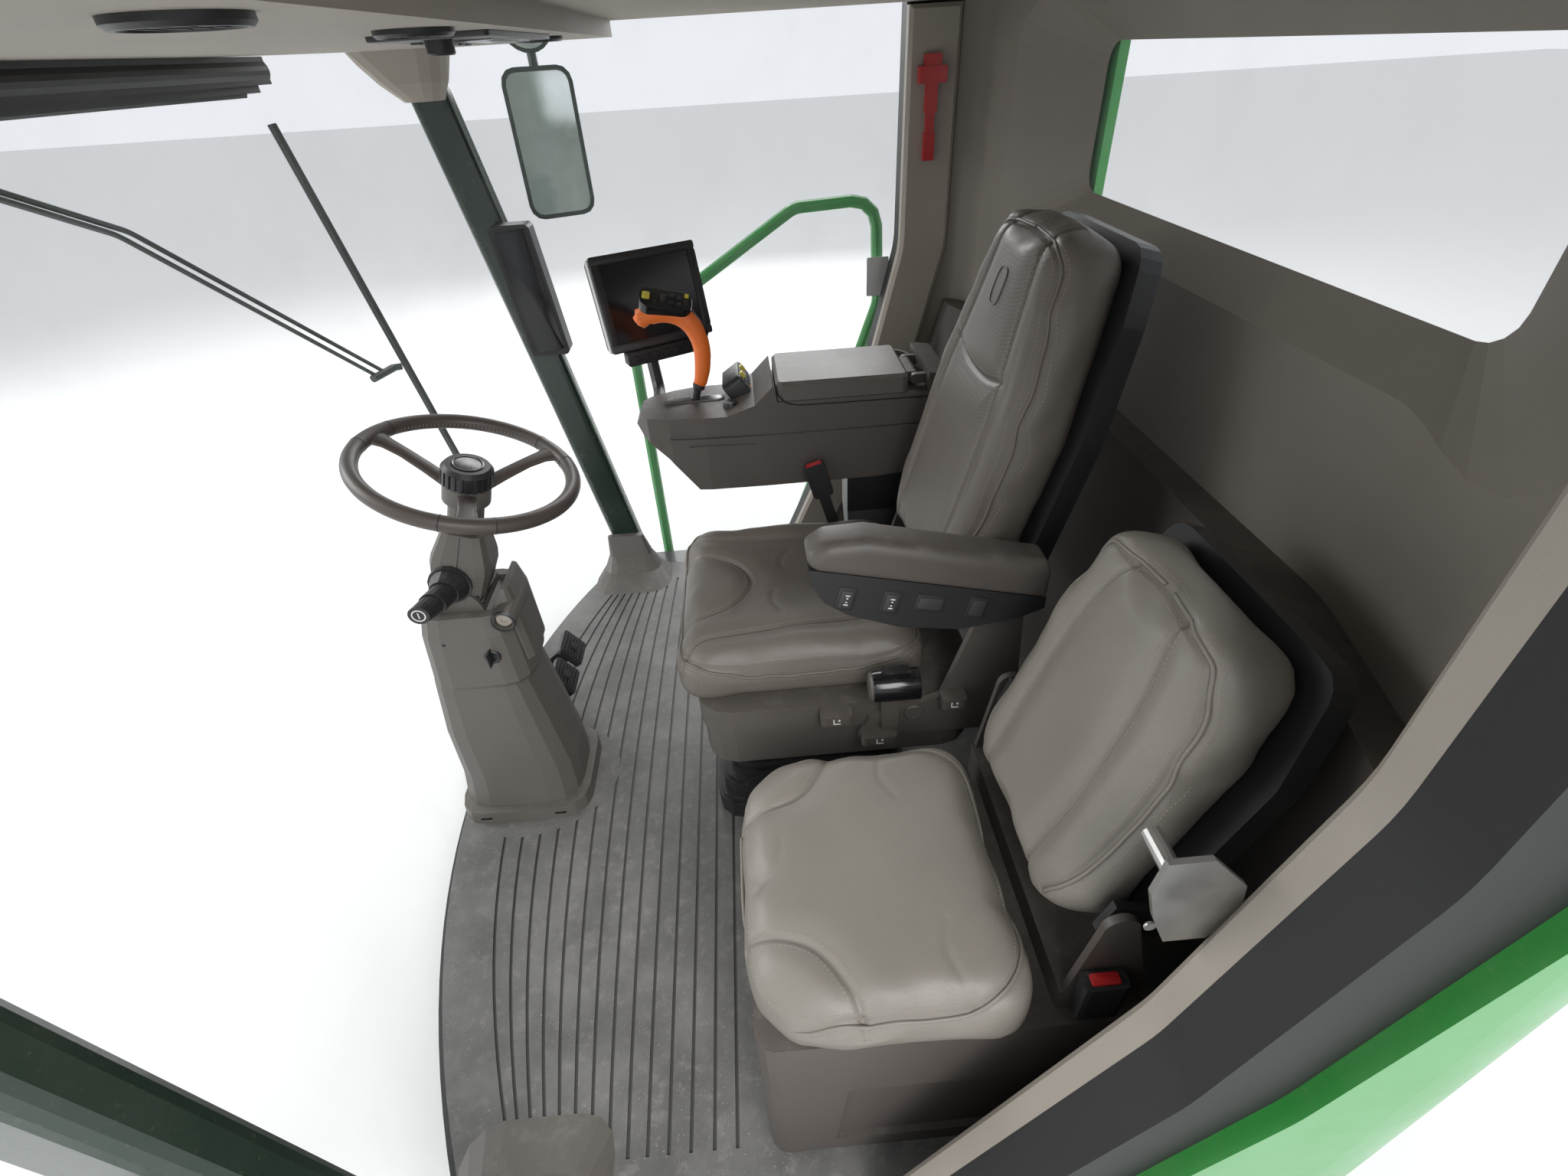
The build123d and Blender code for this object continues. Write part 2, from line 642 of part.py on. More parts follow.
# Steering wheel: a hub on the shaft, and three spokes that rise from it and widen into the rim
spoke_angles = (-15, 105, -135)
spoke_sections = (   # share of the way from the hub to the rim, width, thickness, corner
    (0, 34, 15, 5),
    (0.72, 29, 13, 4),
    (1, 58, 18, 6),
)
with BuildPart() as wheel_hub:
    with BuildSketch(wheel_plane.offset(-hub_drop)):
        Circle(hub_r)
        Circle(shaft_r + run_clear, mode=Mode.SUBTRACT)
    extrude(amount=shaft_in + 1)
    with BuildSketch(wheel_plane.offset(-hub_drop + shaft_in + 1)):
        Circle(hub_r)
    extrude(amount=hub_h - shaft_in - 1)
save(wheel_hub, "wheel_hub")

with BuildPart() as steering_wheel:
    with BuildSketch(Plane(origin=wheel_plane.origin, x_dir=wheel_plane.x_dir,
                           z_dir=wheel_plane.y_dir)) as rim_section:
        with Locations((wheel_r, 0)):
            RegularPolygon(rim_r, 10)
    revolve(axis=Axis(wheel_plane.origin, wheel_plane.z_dir))
    for angle in spoke_angles:
        turn = math.radians(angle)
        along = wheel_plane.x_dir * math.cos(turn) + wheel_plane.y_dir * math.sin(turn)
        foot = wheel_plane.origin - wheel_plane.z_dir * (hub_drop - 20) + along * (hub_r - 12)
        tip = wheel_plane.origin + along * (wheel_r - 2)
        across = wheel_plane.z_dir.cross(along)
        for share, width, thick, corner in spoke_sections:
            with BuildSketch(Plane(origin=foot + (tip - foot) * share, x_dir=across, z_dir=tip - foot)):
                soft_rect(width, thick, corner, 1)
        loft(ruled=True)
    add(wheel_hub.part, mode=Mode.SUBTRACT)
save(steering_wheel, "steering_wheel")

# Spinner cap on the hub, with a ribbed grip round it
cap_r, cap_h, rib_count = 45, 28, 22
with BuildPart() as hub_cap:
    with BuildSketch(wheel_plane.offset(-hub_drop + hub_h)):
        RegularPolygon(cap_r, 2 * rib_count)
        with PolarLocations(cap_r, rib_count):
            Rectangle(7, 5, mode=Mode.SUBTRACT)
    extrude(amount=cap_h)
    with BuildSketch(wheel_plane.offset(-hub_drop + hub_h + cap_h)):
        RegularPolygon(cap_r, 2 * rib_count)
    extrude(amount=8, taper=40)
save(hub_cap, "hub_cap")

# Control stalk: a round boss on the head's left side and a short two-stage grip
stalk_x, stalk_up = 10, 72          # middle of the boss, along the head's own axes
stalk_stages = (   # distance out from the head's middle, radius, shift along X
    (50, 40, 0),
    (62, 40, 0),
    (64, 36, 0),
    (88, 27, 3),
    (90, 24, 3),
    (124, 24, 12),
    (126, 21, 13),
    (160, 19, 24),
)
with BuildPart() as stalk:
    for (low, low_r, low_x), (high, high_r, high_x) in zip(stalk_stages[::2], stalk_stages[1::2]):
        for out, radius, shift in ((low, low_r, low_x), (high, high_r, high_x)):
            middle = head_plane.from_local_coords(Vector(stalk_x + shift, out, stalk_up))
            with BuildSketch(Plane(origin=middle, x_dir=head_plane.x_dir, z_dir=(0, 1, 0))):
                RegularPolygon(radius, 16)
        loft(ruled=True)
    for (low, low_r, low_x), (high, high_r, high_x) in zip(stalk_stages[1:-1:2], stalk_stages[2::2]):
        middle = head_plane.from_local_coords(Vector(stalk_x + low_x, low, stalk_up))
        with BuildSketch(Plane(origin=middle, x_dir=head_plane.x_dir, z_dir=(0, 1, 0))):
            RegularPolygon(min(low_r, high_r) - 2, 16)
        extrude(amount=high - low)
    add(column_head.part, mode=Mode.SUBTRACT)
save(stalk, "stalk")

# Two foot pedals on arms from the toe board
pedal_ys = (-195, -305)
pad_x, pad_h, pad_l, pad_w, pad_t = 545, 140, 74, 88, 14
with BuildPart() as pedals:
    for y in pedal_ys:
        pad = Plane(origin=(pad_x, y, mat_top + pad_h), x_dir=(0, 1, 0), z_dir=(-0.8, 0, 0.6))
        with BuildSketch(pad):
            soft_rect(pad_w, pad_l, 10)
        extrude(amount=pad_t)
        with BuildSketch(Plane.XZ.offset(-y)):
            with BuildLine():
                Polyline((pad_x - 13, mat_top + pad_h - 15), (pad_x + 11, mat_top + pad_h + 17),
                         (pad_x + 81, mat_top + pad_h - 36), (pad_x + 123, mat_top),
                         (pad_x + 91, mat_top), (pad_x + 55, mat_top + pad_h - 60), close=True)
            make_face()
        extrude(amount=11, dir=(0, 1, 0), both=True)
save(pedals, "pedals")

# Operator's seat: suspension cover on the floor, then everything that swivels
seat_x = -70                       # swivel line
base_tiers = (   # height above the mat, length along X, width along Y, corner
    (0, 440, 350, 60),
    (45, 430, 340, 60),
    (50, 410, 320, 55),
    (95, 400, 310, 55),
    (100, 370, 280, 50),
)
fold_count, fold_pitch = 6, 30
swivel_h = 318
spigot_r, spigot_h = 40, 30         # upright spigot the seat turns on
with BuildPart() as seat_suspension:
    for (low, length, width, corner), (high, *_) in zip(base_tiers, base_tiers[1:]):
        with BuildSketch(Plane.XY.offset(mat_top + low)):
            with Locations((seat_x, 0)):
                soft_rect(length, width, corner)
        extrude(amount=high - low)
    _, length, width, corner = base_tiers[-1]
    for i in range(fold_count):
        low = base_tiers[-1][0] + i * fold_pitch
        for up, grow in ((0, 0), (fold_pitch / 2, -22)):
            with BuildSketch(Plane.XY.offset(mat_top + low + up)):
                with Locations((seat_x, 0)):
                    soft_rect(length + grow, width + grow, corner)
            extrude(amount=fold_pitch / 2)
    with BuildSketch(Plane.XY.offset(mat_top + base_tiers[-1][0] + fold_count * fold_pitch)):
        with Locations((seat_x, 0)):
            RegularPolygon(120, 20)
    extrude(amount=swivel_h - base_tiers[-1][0] - fold_count * fold_pitch)
    with BuildSketch(Plane.XY.offset(mat_top + swivel_h - 5)):
        with Locations((seat_x, 0)):
            Circle(spigot_r)
    extrude(amount=spigot_h + 5)
save(seat_suspension, "seat_suspension")

tray_front, tray_rear, tray_w = 150, -385, 520
tray_low, tray_high = swivel_h + 1, 432
skirt_h, skirt_t = 288, 16         # the tray's rim hangs down over the bellows
tray_mid, tray_l = (tray_front + tray_rear) / 2, tray_front - tray_rear
with BuildPart() as seat_tray:
    with BuildSketch(Plane.XY.offset(mat_top + skirt_h)):
        with Locations((tray_mid, 0)):
            soft_rect(tray_l - 12, tray_w - 12, 60)
    extrude(amount=tray_low + 54 - skirt_h)
    with BuildSketch(Plane.XY.offset(mat_top + tray_low + 54)):
        with Locations((tray_mid, 0)):
            soft_rect(tray_l, tray_w, 64)
    extrude(amount=tray_high - tray_low - 54)
    with BuildSketch(Plane.XY.offset(mat_top + skirt_h)):
        with Locations((tray_mid, 0)):
            soft_rect(tray_l - 12 - 2 * skirt_t, tray_w - 12 - 2 * skirt_t, 48)
    extrude(amount=tray_low - skirt_h, mode=Mode.SUBTRACT)
    with BuildSketch(Plane.XY.offset(mat_top + tray_low - 1)):
        with Locations((seat_x, 0)):
            Circle(spigot_r + run_clear)
    extrude(amount=spigot_h + 6, mode=Mode.SUBTRACT)
save(seat_tray, "seat_tray")

cushion_front, cushion_rear, cushion_w, cushion_t = 196, -300, 505, 108
cushion_tiers = (   # height above the foot, how far the outline draws in
    (0, 12),
    (10, 0),
    (cushion_t - 32, 0),
    (cushion_t - 9, 10),
    (cushion_t, 34),
)
with BuildPart() as seat_cushion:
    for up, inset in cushion_tiers:
        with BuildSketch(Plane.XY.offset(mat_top + tray_high + 0.3 + up)):
            with Locations(((cushion_front + cushion_rear) / 2, 0)):
                soft_rect(cushion_front - cushion_rear - 2 * inset, cushion_w - 2 * inset, 60 - inset / 3)
    loft(ruled=True)
save(seat_cushion, "seat_cushion")

# Backrest: a tapering cushion on a black shell, square on to a leaning plane
back_foot_x, back_foot_h = -411, 482      # a point on the back of the shell
recline_x, recline_h = -375, 600          # pivot of the backrest
back_lean = math.radians(15)
back_plane = Plane(origin=(back_foot_x, 0, mat_top + back_foot_h), x_dir=(0, 1, 0),
                   z_dir=(math.cos(back_lean), 0, math.sin(back_lean)))
back_t, shell_t = 112, 34
back_widths = ((46, 400), (160, 464), (430, 448), (600, 372), (700, 300))   # height up the plane, width
ear_t, ear_y = 12, 256                    # pivot ears of the shell: thickness, outer face


def back_outline(widths, grow, corner):
    """Outline of a backrest seen square on, from a table of heights and widths, corners cut in flats."""
    right = [Vector(width / 2 + grow, up) for up, width in widths]
    left = [Vector(-point.X, point.Y) for point in reversed(right)]
    ring = [*right, *left]
    closed = bent([ring[-1], *ring, ring[0]], corner, 3)[1:-1]
    with BuildSketch() as sketch:
        Polygon(*[(point.X, point.Y) for point in closed], align=None)
    return sketch.sketch


back_tiers = (   # share of the cushion's depth, how far the outline draws in
    (0, 0),
    (0.72, 0),
    (0.93, 10),
    (1, 30),
)
with BuildPart() as back_cushion:
    for share, inset in back_tiers:
        with BuildSketch(back_plane.offset(shell_t + 0.3 + back_t * share)):
            add(back_outline(back_widths, -4 - inset, 45 - inset / 2))
    loft(ruled=True)
save(back_cushion, "back_cushion")

with BuildPart() as back_shell:
    with BuildSketch(back_plane):
        add(back_outline(back_widths, 4, 45))
    extrude(amount=shell_t)
    for side in (-1, 1):
        with BuildSketch(Plane.XZ.offset(-side * (ear_y - ear_t))):
            with Locations((recline_x, mat_top + recline_h)):
                Circle(24)
            with BuildLine():
                Polyline((-425, mat_top + 560), (-400, mat_top + 560), (-350, mat_top + 600),
                         (-372, mat_top + 680), (-452, mat_top + 680), close=True)
            make_face()
            with Locations((recline_x, mat_top + recline_h)):
                Circle(pin_r + run_clear, mode=Mode.SUBTRACT)
        extrude(amount=ear_t, dir=(0, side, 0))
        with BuildSketch(Plane.XZ.offset(-side * (ear_y - ear_t))):
            with Locations((-428, mat_top + 625)):
                Rectangle(26, 90)
        extrude(amount=-side * 60, dir=(0, 1, 0))
    add(back_cushion.part, mode=Mode.SUBTRACT)
save(back_shell, "back_shell")

# Side brackets on the tray: they carry the backrest's pins, and on the left the armrest's pin
bracket_in, bracket_t = 260, 14
arm_x, arm_h = -396, 692           # armrest pivot
bracket_shapes = (   # side, outline as X and height above the mat, top pin X and height, its radius
    (1, ((-440, 352), (-150, 352), (-170, 400), (-300, 445), (-345, 600), (-368, arm_h), (-424, arm_h), (-440, 445)),
     (arm_x, arm_h), 28),
    (-1, ((-440, 352), (-190, 352), (-200, 400), (-300, 445), (-347, 600), (-403, 600), (-440, 445)),
     (recline_x, recline_h), 28),
)
with BuildPart() as seat_brackets:
    for side, outline, (top_x, top_h), top_r in bracket_shapes:
        with BuildSketch(Plane.XZ.offset(-side * bracket_in)):
            with BuildLine():
                Polyline(*[(x, mat_top + h) for x, h in outline], close=True)
            make_face()
            with Locations((top_x, mat_top + top_h)):
                Circle(top_r)
        extrude(amount=bracket_t, dir=(0, side, 0))
        with BuildSketch(Plane.XZ.offset(-side * bracket_in)):
            with Locations((recline_x, mat_top + recline_h)):
                Circle(pin_r)
        extrude(amount=16, dir=(0, -side, 0))
    with BuildSketch(Plane.XZ.offset(-bracket_in)):
        with Locations((arm_x, mat_top + arm_h)):
            Circle(pin_r)
    extrude(amount=bracket_t + 40, dir=(0, 1, 0))
save(seat_brackets, "seat_brackets")

# Controls beside the seat: a round adjuster and three lever pads
lever_pads = (   # X, height above the mat, length, inner face Y
    (-107, 418, 58, 260.3),
    (-185, 372, 66, 274.3),
    (-318, 452, 46, 274.3),
)
adjuster_h = 502
with BuildPart() as seat_controls:
    with BuildSketch(Plane.YZ.offset(-250)):
        with Locations((292, mat_top + adjuster_h)):
            RegularPolygon(28, 18)
    extrude(amount=80)
    with BuildSketch(Plane.YZ.offset(-170)):
        with Locations((292, mat_top + adjuster_h)):
            RegularPolygon(28, 18)
    extrude(amount=6, taper=40)
    for x, height, length, face in lever_pads:
        with BuildSketch(Plane.XY.offset(mat_top + height - 11)):
            with Locations((x, face + 16)):
                soft_rect(length, 32, 7, 2)
        extrude(amount=22)
    with BuildSketch(Plane.XY.offset(mat_top + 392)):
        with Locations((-205, 283.3)):
            Rectangle(30, 18)
    extrude(amount=adjuster_h - 392)
save(seat_controls, "seat_controls")

# Left armrest: a black switch panel under a pad, turning on the bracket's pin
arm_in, arm_out = 277, 342
joint_front, joint_rear = (-62, 796), (-430, 708)   # the seam between the panel and its pad
panel_low = ((-85, 732), (-120, 706), (-200, 674), (-300, 658), (-392, 672), (-430, 688))
pad_top = ((-430, 770), (-300, 802), (-150, 838), (-88, 836), (-60, 818))
with BuildPart() as armrest:
    with BuildSketch(Plane.XZ.offset(-arm_in)):
        with BuildLine():
            Polyline(*[(x, mat_top + h) for x, h in (joint_front, (-66, 766), *panel_low, joint_rear)], close=True)
        make_face()
    extrude(amount=arm_out - arm_in - 4, dir=(0, 1, 0))
    with BuildSketch(Plane.XZ.offset(-arm_in)):
        with Locations((arm_x, mat_top + arm_h)):
            Circle(pin_r + run_clear)
    extrude(amount=40, dir=(0, 1, 0), mode=Mode.SUBTRACT)
save(armrest, "armrest")

with BuildPart() as armrest_pad:
    with BuildSketch(Plane.XZ.offset(-arm_in)):
        with BuildLine():
            Polyline(*[(x, mat_top + h + 0.3) for x, h in (joint_rear, joint_front, *reversed(pad_top))], close=True)
        make_face()
    extrude(amount=arm_out - arm_in, dir=(0, 1, 0))
    top_edges = armrest_pad.edges().filter_by(lambda edge: edge.center().Z > mat_top + 775)
    chamfer(top_edges.filter_by(lambda edge: edge.center().Y > arm_out - 1), 12)
save(armrest_pad, "armrest_pad")

# Right console: a long box beside the seat, with a hinged lid over a tray and a cup holder
console_in, console_out = 312, 515
console_mid = (console_in + console_out) / 2
console_profile = (   # X and height above the mat, round the console from the rear foot
    (-432, 604), (-268, 590), (139, 586), (200, 664), (254, 712), (268, 738), (256, 758),
    (150, 764), (60, 764), (-4, 786), (-46, 826), (-50, 790), (-388, 790), (-388, 832), (-432, 826),
)
console_plan = (     # X and half the width, from the middle of the nose back
    (272, 0), (268, 34), (240, 66), (190, 86), (110, 98), (-20, 101.5), (-440, 101.5),
)
lid_front, lid_rear, lid_low, lid_high = -50, -345, 790, 832
lid_x, lid_h = -365, 806           # lid pivot
lug_ys = (60 - console_mid, -60 - console_mid)    # middles of the two lugs that hold the lid's pin
lug_t, lug_r, lid_pin_r = 12, 11, 5
lever_x, lever_y, lever_foot = 135, -430, 737     # foot of the drive lever in the console's slot
cup_x, cup_y, cup_r, cup_deep = -345, -552, 42, 75
with BuildPart() as right_console:
    with BuildSketch(Plane.XZ.offset(console_in)):
        with BuildLine():
            Polyline(*[(x, mat_top + h) for x, h in console_profile], close=True)
        make_face()
    extrude(amount=console_out - console_in, dir=(0, -1, 0))
    with BuildSketch(Plane.XY.offset(mat_top + 500)):
        with Locations((0, -console_mid)):
            Polygon(*console_plan, *[(x, -half) for x, half in reversed(console_plan[1:])], align=None)
    extrude(amount=400, mode=Mode.INTERSECT)
    with BuildSketch(Plane.XY.offset(mat_top + 690)):
        with Locations((cup_x, cup_y)):
            Circle(cup_r + 8)
        with Locations((cup_x, -console_out + 10)):
            Rectangle(2 * cup_r + 16, 60)
        make_hull()
    extrude(amount=100)
    for y in lug_ys:
        with BuildSketch(Plane.XZ.offset(-y)):
            with Locations((lid_x, mat_top + lid_h)):
                Circle(lug_r)
            with Locations((-390, mat_top + lid_h)):
                Rectangle(8, 2 * lug_r)
            make_hull()
        extrude(amount=lug_t / 2, dir=(0, 1, 0), both=True)
    with BuildSketch(Plane.XZ.offset(-lug_ys[0])):
        with Locations((lid_x, mat_top + lid_h)):
            Circle(lid_pin_r)
    extrude(amount=lug_ys[0] - lug_ys[1], dir=(0, -1, 0))
    with BuildSketch(Plane.XY.offset(mat_top + lid_low)):
        with Locations(((lid_front + lid_rear) / 2, -console_mid)):
            soft_rect(lid_front - lid_rear - 36, console_out - console_in - 50, 16, 2)
    extrude(amount=-90, mode=Mode.SUBTRACT)
    with BuildSketch(Plane.XY.offset(mat_top + 790)):
        with Locations((cup_x, cup_y)):
            Circle(cup_r)
    extrude(amount=-cup_deep, mode=Mode.SUBTRACT)
    # Slot that the drive lever runs in
    with BuildSketch(Plane.XY.offset(mat_top + lever_foot + 3)):
        with Locations((lever_x, lever_y)):
            SlotOverall(130, 26)
    extrude(amount=40, mode=Mode.SUBTRACT)
save(right_console, "right_console")

with BuildPart() as console_lid:
    with BuildSketch(Plane.XY.offset(mat_top + lid_low + 1)):
        with Locations(((lid_front + lid_rear) / 2 - 1, -console_mid)):
            soft_rect(lid_front - lid_rear - 3, console_out - console_in - 2, 14, 2)
    extrude(amount=lid_high - lid_low - 1)
    chamfer(console_lid.edges().group_by(Axis.Z)[-1], 7)
    with BuildSketch(Plane.XZ.offset(-lug_ys[0] + lug_t)):
        with Locations((lid_x, mat_top + lid_h)):
            Circle(lug_r)
        with Locations((lid_rear + 6, mat_top + lid_h)):
            Rectangle(12, 2 * lug_r)
        make_hull()
    extrude(amount=lug_ys[0] - lug_ys[1] - 2 * lug_t, dir=(0, -1, 0))
    with BuildSketch(Plane.XZ.offset(-lug_ys[0])):
        with Locations((lid_x, mat_top + lid_h)):
            Circle(lid_pin_r + run_clear)
    extrude(amount=lug_ys[0] - lug_ys[1], dir=(0, -1, 0), mode=Mode.SUBTRACT)
save(console_lid, "console_lid")

# Arm that carries the console out from the seat tray
with BuildPart() as console_arm:
    with BuildSketch(Plane.YZ.offset(-365)):
        with BuildLine():
            Polyline((-260.3, mat_top + 362), (-382, mat_top + 372), (-460, mat_top + 450), (-460, mat_top + 640),
                     (-360, mat_top + 640), (-360, mat_top + 470), (-342, mat_top + 424), (-260.3, mat_top + 414),
                     close=True)
        make_face()
    extrude(amount=150)
    add(right_console.part, mode=Mode.SUBTRACT)
    add(seat_brackets.part, mode=Mode.SUBTRACT)
    with BuildSketch(Plane.XY.offset(mat_top + 640)):
        Rectangle(2000, 2000)
    extrude(amount=200, mode=Mode.SUBTRACT)
save(console_arm, "console_arm")

# Drive lever in its slot: a stem, a curved grip and a hooked head that points forward
grip_y, grip_t = -424, 46
grip_outline = (   # X and height above the mat, up the rear side and back down the front
    (108, 792), (92, 836), (84, 880), (92, 920), (104, 950), (114, 974), (136, 994), (166, 1000), (204, 982),
    (232, 966), (238, 946), (226, 928), (190, 912), (154, 898), (138, 884), (126, 856), (124, 824), (130, 796),
)
with BuildPart() as drive_lever:
    add(tube([(lever_x, lever_y, mat_top + lever_foot), (119, grip_y, mat_top + 800)], 9))
    with BuildSketch(Plane.XZ.offset(-grip_y)):
        with BuildLine():
            Polyline(*[(x, mat_top + h) for x, h in grip_outline], close=True)
        make_face()
    extrude(amount=grip_t / 2, both=True, taper=14)
    add(right_console.part, mode=Mode.SUBTRACT)
save(drive_lever, "drive_lever")

# Monitor on its own arm beside the console
monitor_w, monitor_h, monitor_t = 262, 212, 34
monitor_plane = Plane(origin=(215, -600, mat_top + 955), x_dir=(-0.88, -0.47, 0), z_dir=(-0.45, 0.85, 0.28))
with BuildPart() as monitor:
    with BuildSketch(monitor_plane):
        soft_rect(monitor_w, monitor_h, 14, 2)
    extrude(amount=-monitor_t)
    add(tube([(225, -455, mat_top + 730), (232, -590, mat_top + 730), (246, -640, mat_top + 806),
              monitor_plane.from_local_coords(Vector(0, 0, -monitor_t + 4))], 15, 40))
    add(right_console.part, mode=Mode.SUBTRACT)
save(monitor, "monitor")

# Buckle of the operator's belt, on a stalk beside the cushion
buckle_plane = Plane(origin=(-205, -262.5, mat_top + 372), x_dir=(0.96, 0, -0.27), z_dir=(0, -1, 0))
with BuildPart() as seat_buckle:
    with BuildSketch(buckle_plane):
        with Locations((0, 110)):
            Rectangle(26, 240)
    extrude(amount=7)
    with BuildSketch(buckle_plane):
        with Locations((0, 250)):
            soft_rect(48, 84, 9, 2)
    extrude(amount=25)
    add(console_arm.part, mode=Mode.SUBTRACT)
    add(seat_brackets.part, mode=Mode.SUBTRACT)
save(seat_buckle, "seat_buckle")

# Instructor's seat: a storage box with a cushion on it and a back that folds forward
box_front, box_rear, box_in, box_out, box_h = 65, -450, 420, 812, 380
fold_x, fold_h = -380, 568         # pivot of the folding back
plate_t = 10
with BuildPart() as buddy_base:
    with BuildSketch(Plane.XY.offset(mat_top)):
        with Locations(((box_front + box_rear) / 2, (box_in + box_out) / 2)):
            soft_rect(box_front - box_rear, box_out - box_in, 26)
    extrude(amount=box_h)
    with BuildSketch(Plane.XZ.offset(-box_out)):
        with BuildLine():
            Polyline((-57 - 290, mat_top + 40), (-57 + 20, mat_top + 40), (-57, mat_top + 230),
                     (-57 - 290, mat_top + 230), close=True)
        make_face()
    extrude(amount=10, dir=(0, -1, 0), mode=Mode.SUBTRACT)
    with BuildSketch(Plane.XY.offset(mat_top + box_h - 20)):
        with Locations((box_rear + 62, 582)):
            Rectangle(112, 418)
    extrude(amount=64)
    for face in (373, 791 - plate_t):
        with BuildSketch(Plane.XZ.offset(-face)):
            with BuildLine():
                Polyline((box_rear + 8, mat_top + box_h + 40), (box_rear + 114, mat_top + box_h + 40),
                         (fold_x + 22, mat_top + fold_h), (fold_x - 22, mat_top + fold_h), close=True)
            make_face()
            with Locations((fold_x, mat_top + fold_h)):
                Circle(22)
        extrude(amount=plate_t, dir=(0, 1, 0))
    for face, turn in ((373 + plate_t, 1), (791 - plate_t, -1)):
        with BuildSketch(Plane.XZ.offset(-face)):
            with Locations((fold_x, mat_top + fold_h)):
                Circle(pin_r)
        extrude(amount=15, dir=(0, turn, 0))
save(buddy_base, "buddy_base")

buddy_tiers = (   # height above the foot, how far the outline draws in
    (0, 10),
    (8, 0),
    (72, 0),
    (92, 10),
    (100, 32),
)
buddy_front, buddy_rear, buddy_in, buddy_out = 90, -310, 382, 846
with BuildPart() as buddy_cushion:
    for up, inset in buddy_tiers:
        front, far, near = buddy_front - inset, buddy_in + inset, buddy_out - inset
        corners = [(buddy_rear, far, 60), (front, far, 130), (front, near, 130), (buddy_rear, near, 60)]
        with BuildSketch(Plane.XY.offset(mat_top + box_h + 0.3 + up)):
            Polygon(*[point for i, (x, y, corner) in enumerate(corners) for point in (
                (at.X, at.Y) for at in bent([(*corners[i - 1][:2], 0), (x, y, 0), (*corners[(i + 1) % 4][:2], 0)],
                                            corner)[1:-1])], align=None)
    loft(ruled=True)
    with BuildSketch(Plane.XY.offset(mat_top + box_h)):
        with Locations((box_rear + 62, 582)):
            Rectangle(122, 426)
    extrude(amount=110, mode=Mode.SUBTRACT)
save(buddy_cushion, "buddy_cushion")

fold_lean = math.radians(18)
fold_total, fold_shell = 140, 32
fold_plane = Plane(origin=(fold_x, 582, mat_top + fold_h), x_dir=(0, 1, 0),
                   z_dir=(math.cos(fold_lean), 0, math.sin(fold_lean)))
fold_face = 56                     # from the pivot to the cushion's front
fold_widths = ((-88, 330), (-20, 366), (236, 366), (366, 304))   # height up the plane, width
with BuildPart() as buddy_shell:
    with BuildSketch(fold_plane.offset(fold_face - fold_total)):
        add(back_outline(fold_widths, 3, 36))
    extrude(amount=fold_shell)
    for side in (-1, 1):
        with BuildSketch(fold_plane.offset(fold_face - fold_total + fold_shell / 2)):
            with Locations((side * 190, -2)):
                Rectangle(plate_t, 50)
        extrude(amount=fold_total - fold_face - fold_shell / 2 + 14)
        with BuildSketch(fold_plane.offset(fold_face - fold_total)):
            with Locations((side * 172, -2)):
                Rectangle(46, 50)
        extrude(amount=fold_shell)
    with BuildSketch(Plane.XZ.offset(-300)):
        with Locations((fold_x, mat_top + fold_h)):
            Circle(pin_r + run_clear)
    extrude(amount=600, dir=(0, 1, 0), mode=Mode.SUBTRACT)
save(buddy_shell, "buddy_shell")

fold_tiers = (   # share of the cushion's depth, how far the outline draws in
    (0, 0),
    (0.66, 0),
    (0.92, 14),
    (1, 42),
)
with BuildPart() as buddy_back:
    for share, inset in fold_tiers:
        with BuildSketch(fold_plane.offset(fold_face - fold_total + fold_shell + 0.3
                                           + (fold_total - fold_shell) * share)):
            add(back_outline(fold_widths, -1 - inset, 60 - inset / 2))
    loft(ruled=True)
save(buddy_back, "buddy_back")

# Buckle of the instructor's belt, standing behind the box's outer corner
with BuildPart() as buddy_buckle:
    with BuildSketch(Plane.XY.offset(mat_top + box_h)):
        with Locations((-372, 802)):
            Rectangle(30, 8)
    extrude(amount=40)
    with BuildSketch(Plane.XY.offset(mat_top + box_h + 26)):
        with Locations((-372, 805)):
            soft_rect(56, 26, 7, 2)
    extrude(amount=76)
save(buddy_buckle, "buddy_buckle")

# Roof console under the headliner, with a lobe at the top of each front post
console_edge = 250                 # X of its rear edge
with BuildPart() as roof_console:
    add(shell_outline(head_h - headliner_t - 30, -95))
    extrude(amount=30, dir=(0, 0, 1))
    with BuildSketch(Plane.XY.offset(head_z - 200)):
        with Locations((console_edge - 1000, 0)):
            Rectangle(2000, 3000)
    extrude(amount=300, mode=Mode.SUBTRACT)
    for side in (-1, 1):
        for drop, length, width, corner in ((0, 220, 130, 50), (60, 150, 100, 45), (96, 90, 70, 34)):
            height = head_h - headliner_t - 30 - drop
            with BuildSketch(Plane.XY.offset(mat_top + height + (1 if drop == 0 else 0))):
                with Locations((front_post_x(height) - 10, side * (902 - width / 2))):
                    soft_rect(length, width, corner)
        loft(ruled=True)
    add(shell_outline(head_h - 150, -30))
    extrude(amount=200, dir=(0, 0, 1), mode=Mode.INTERSECT)
save(roof_console, "roof_console")

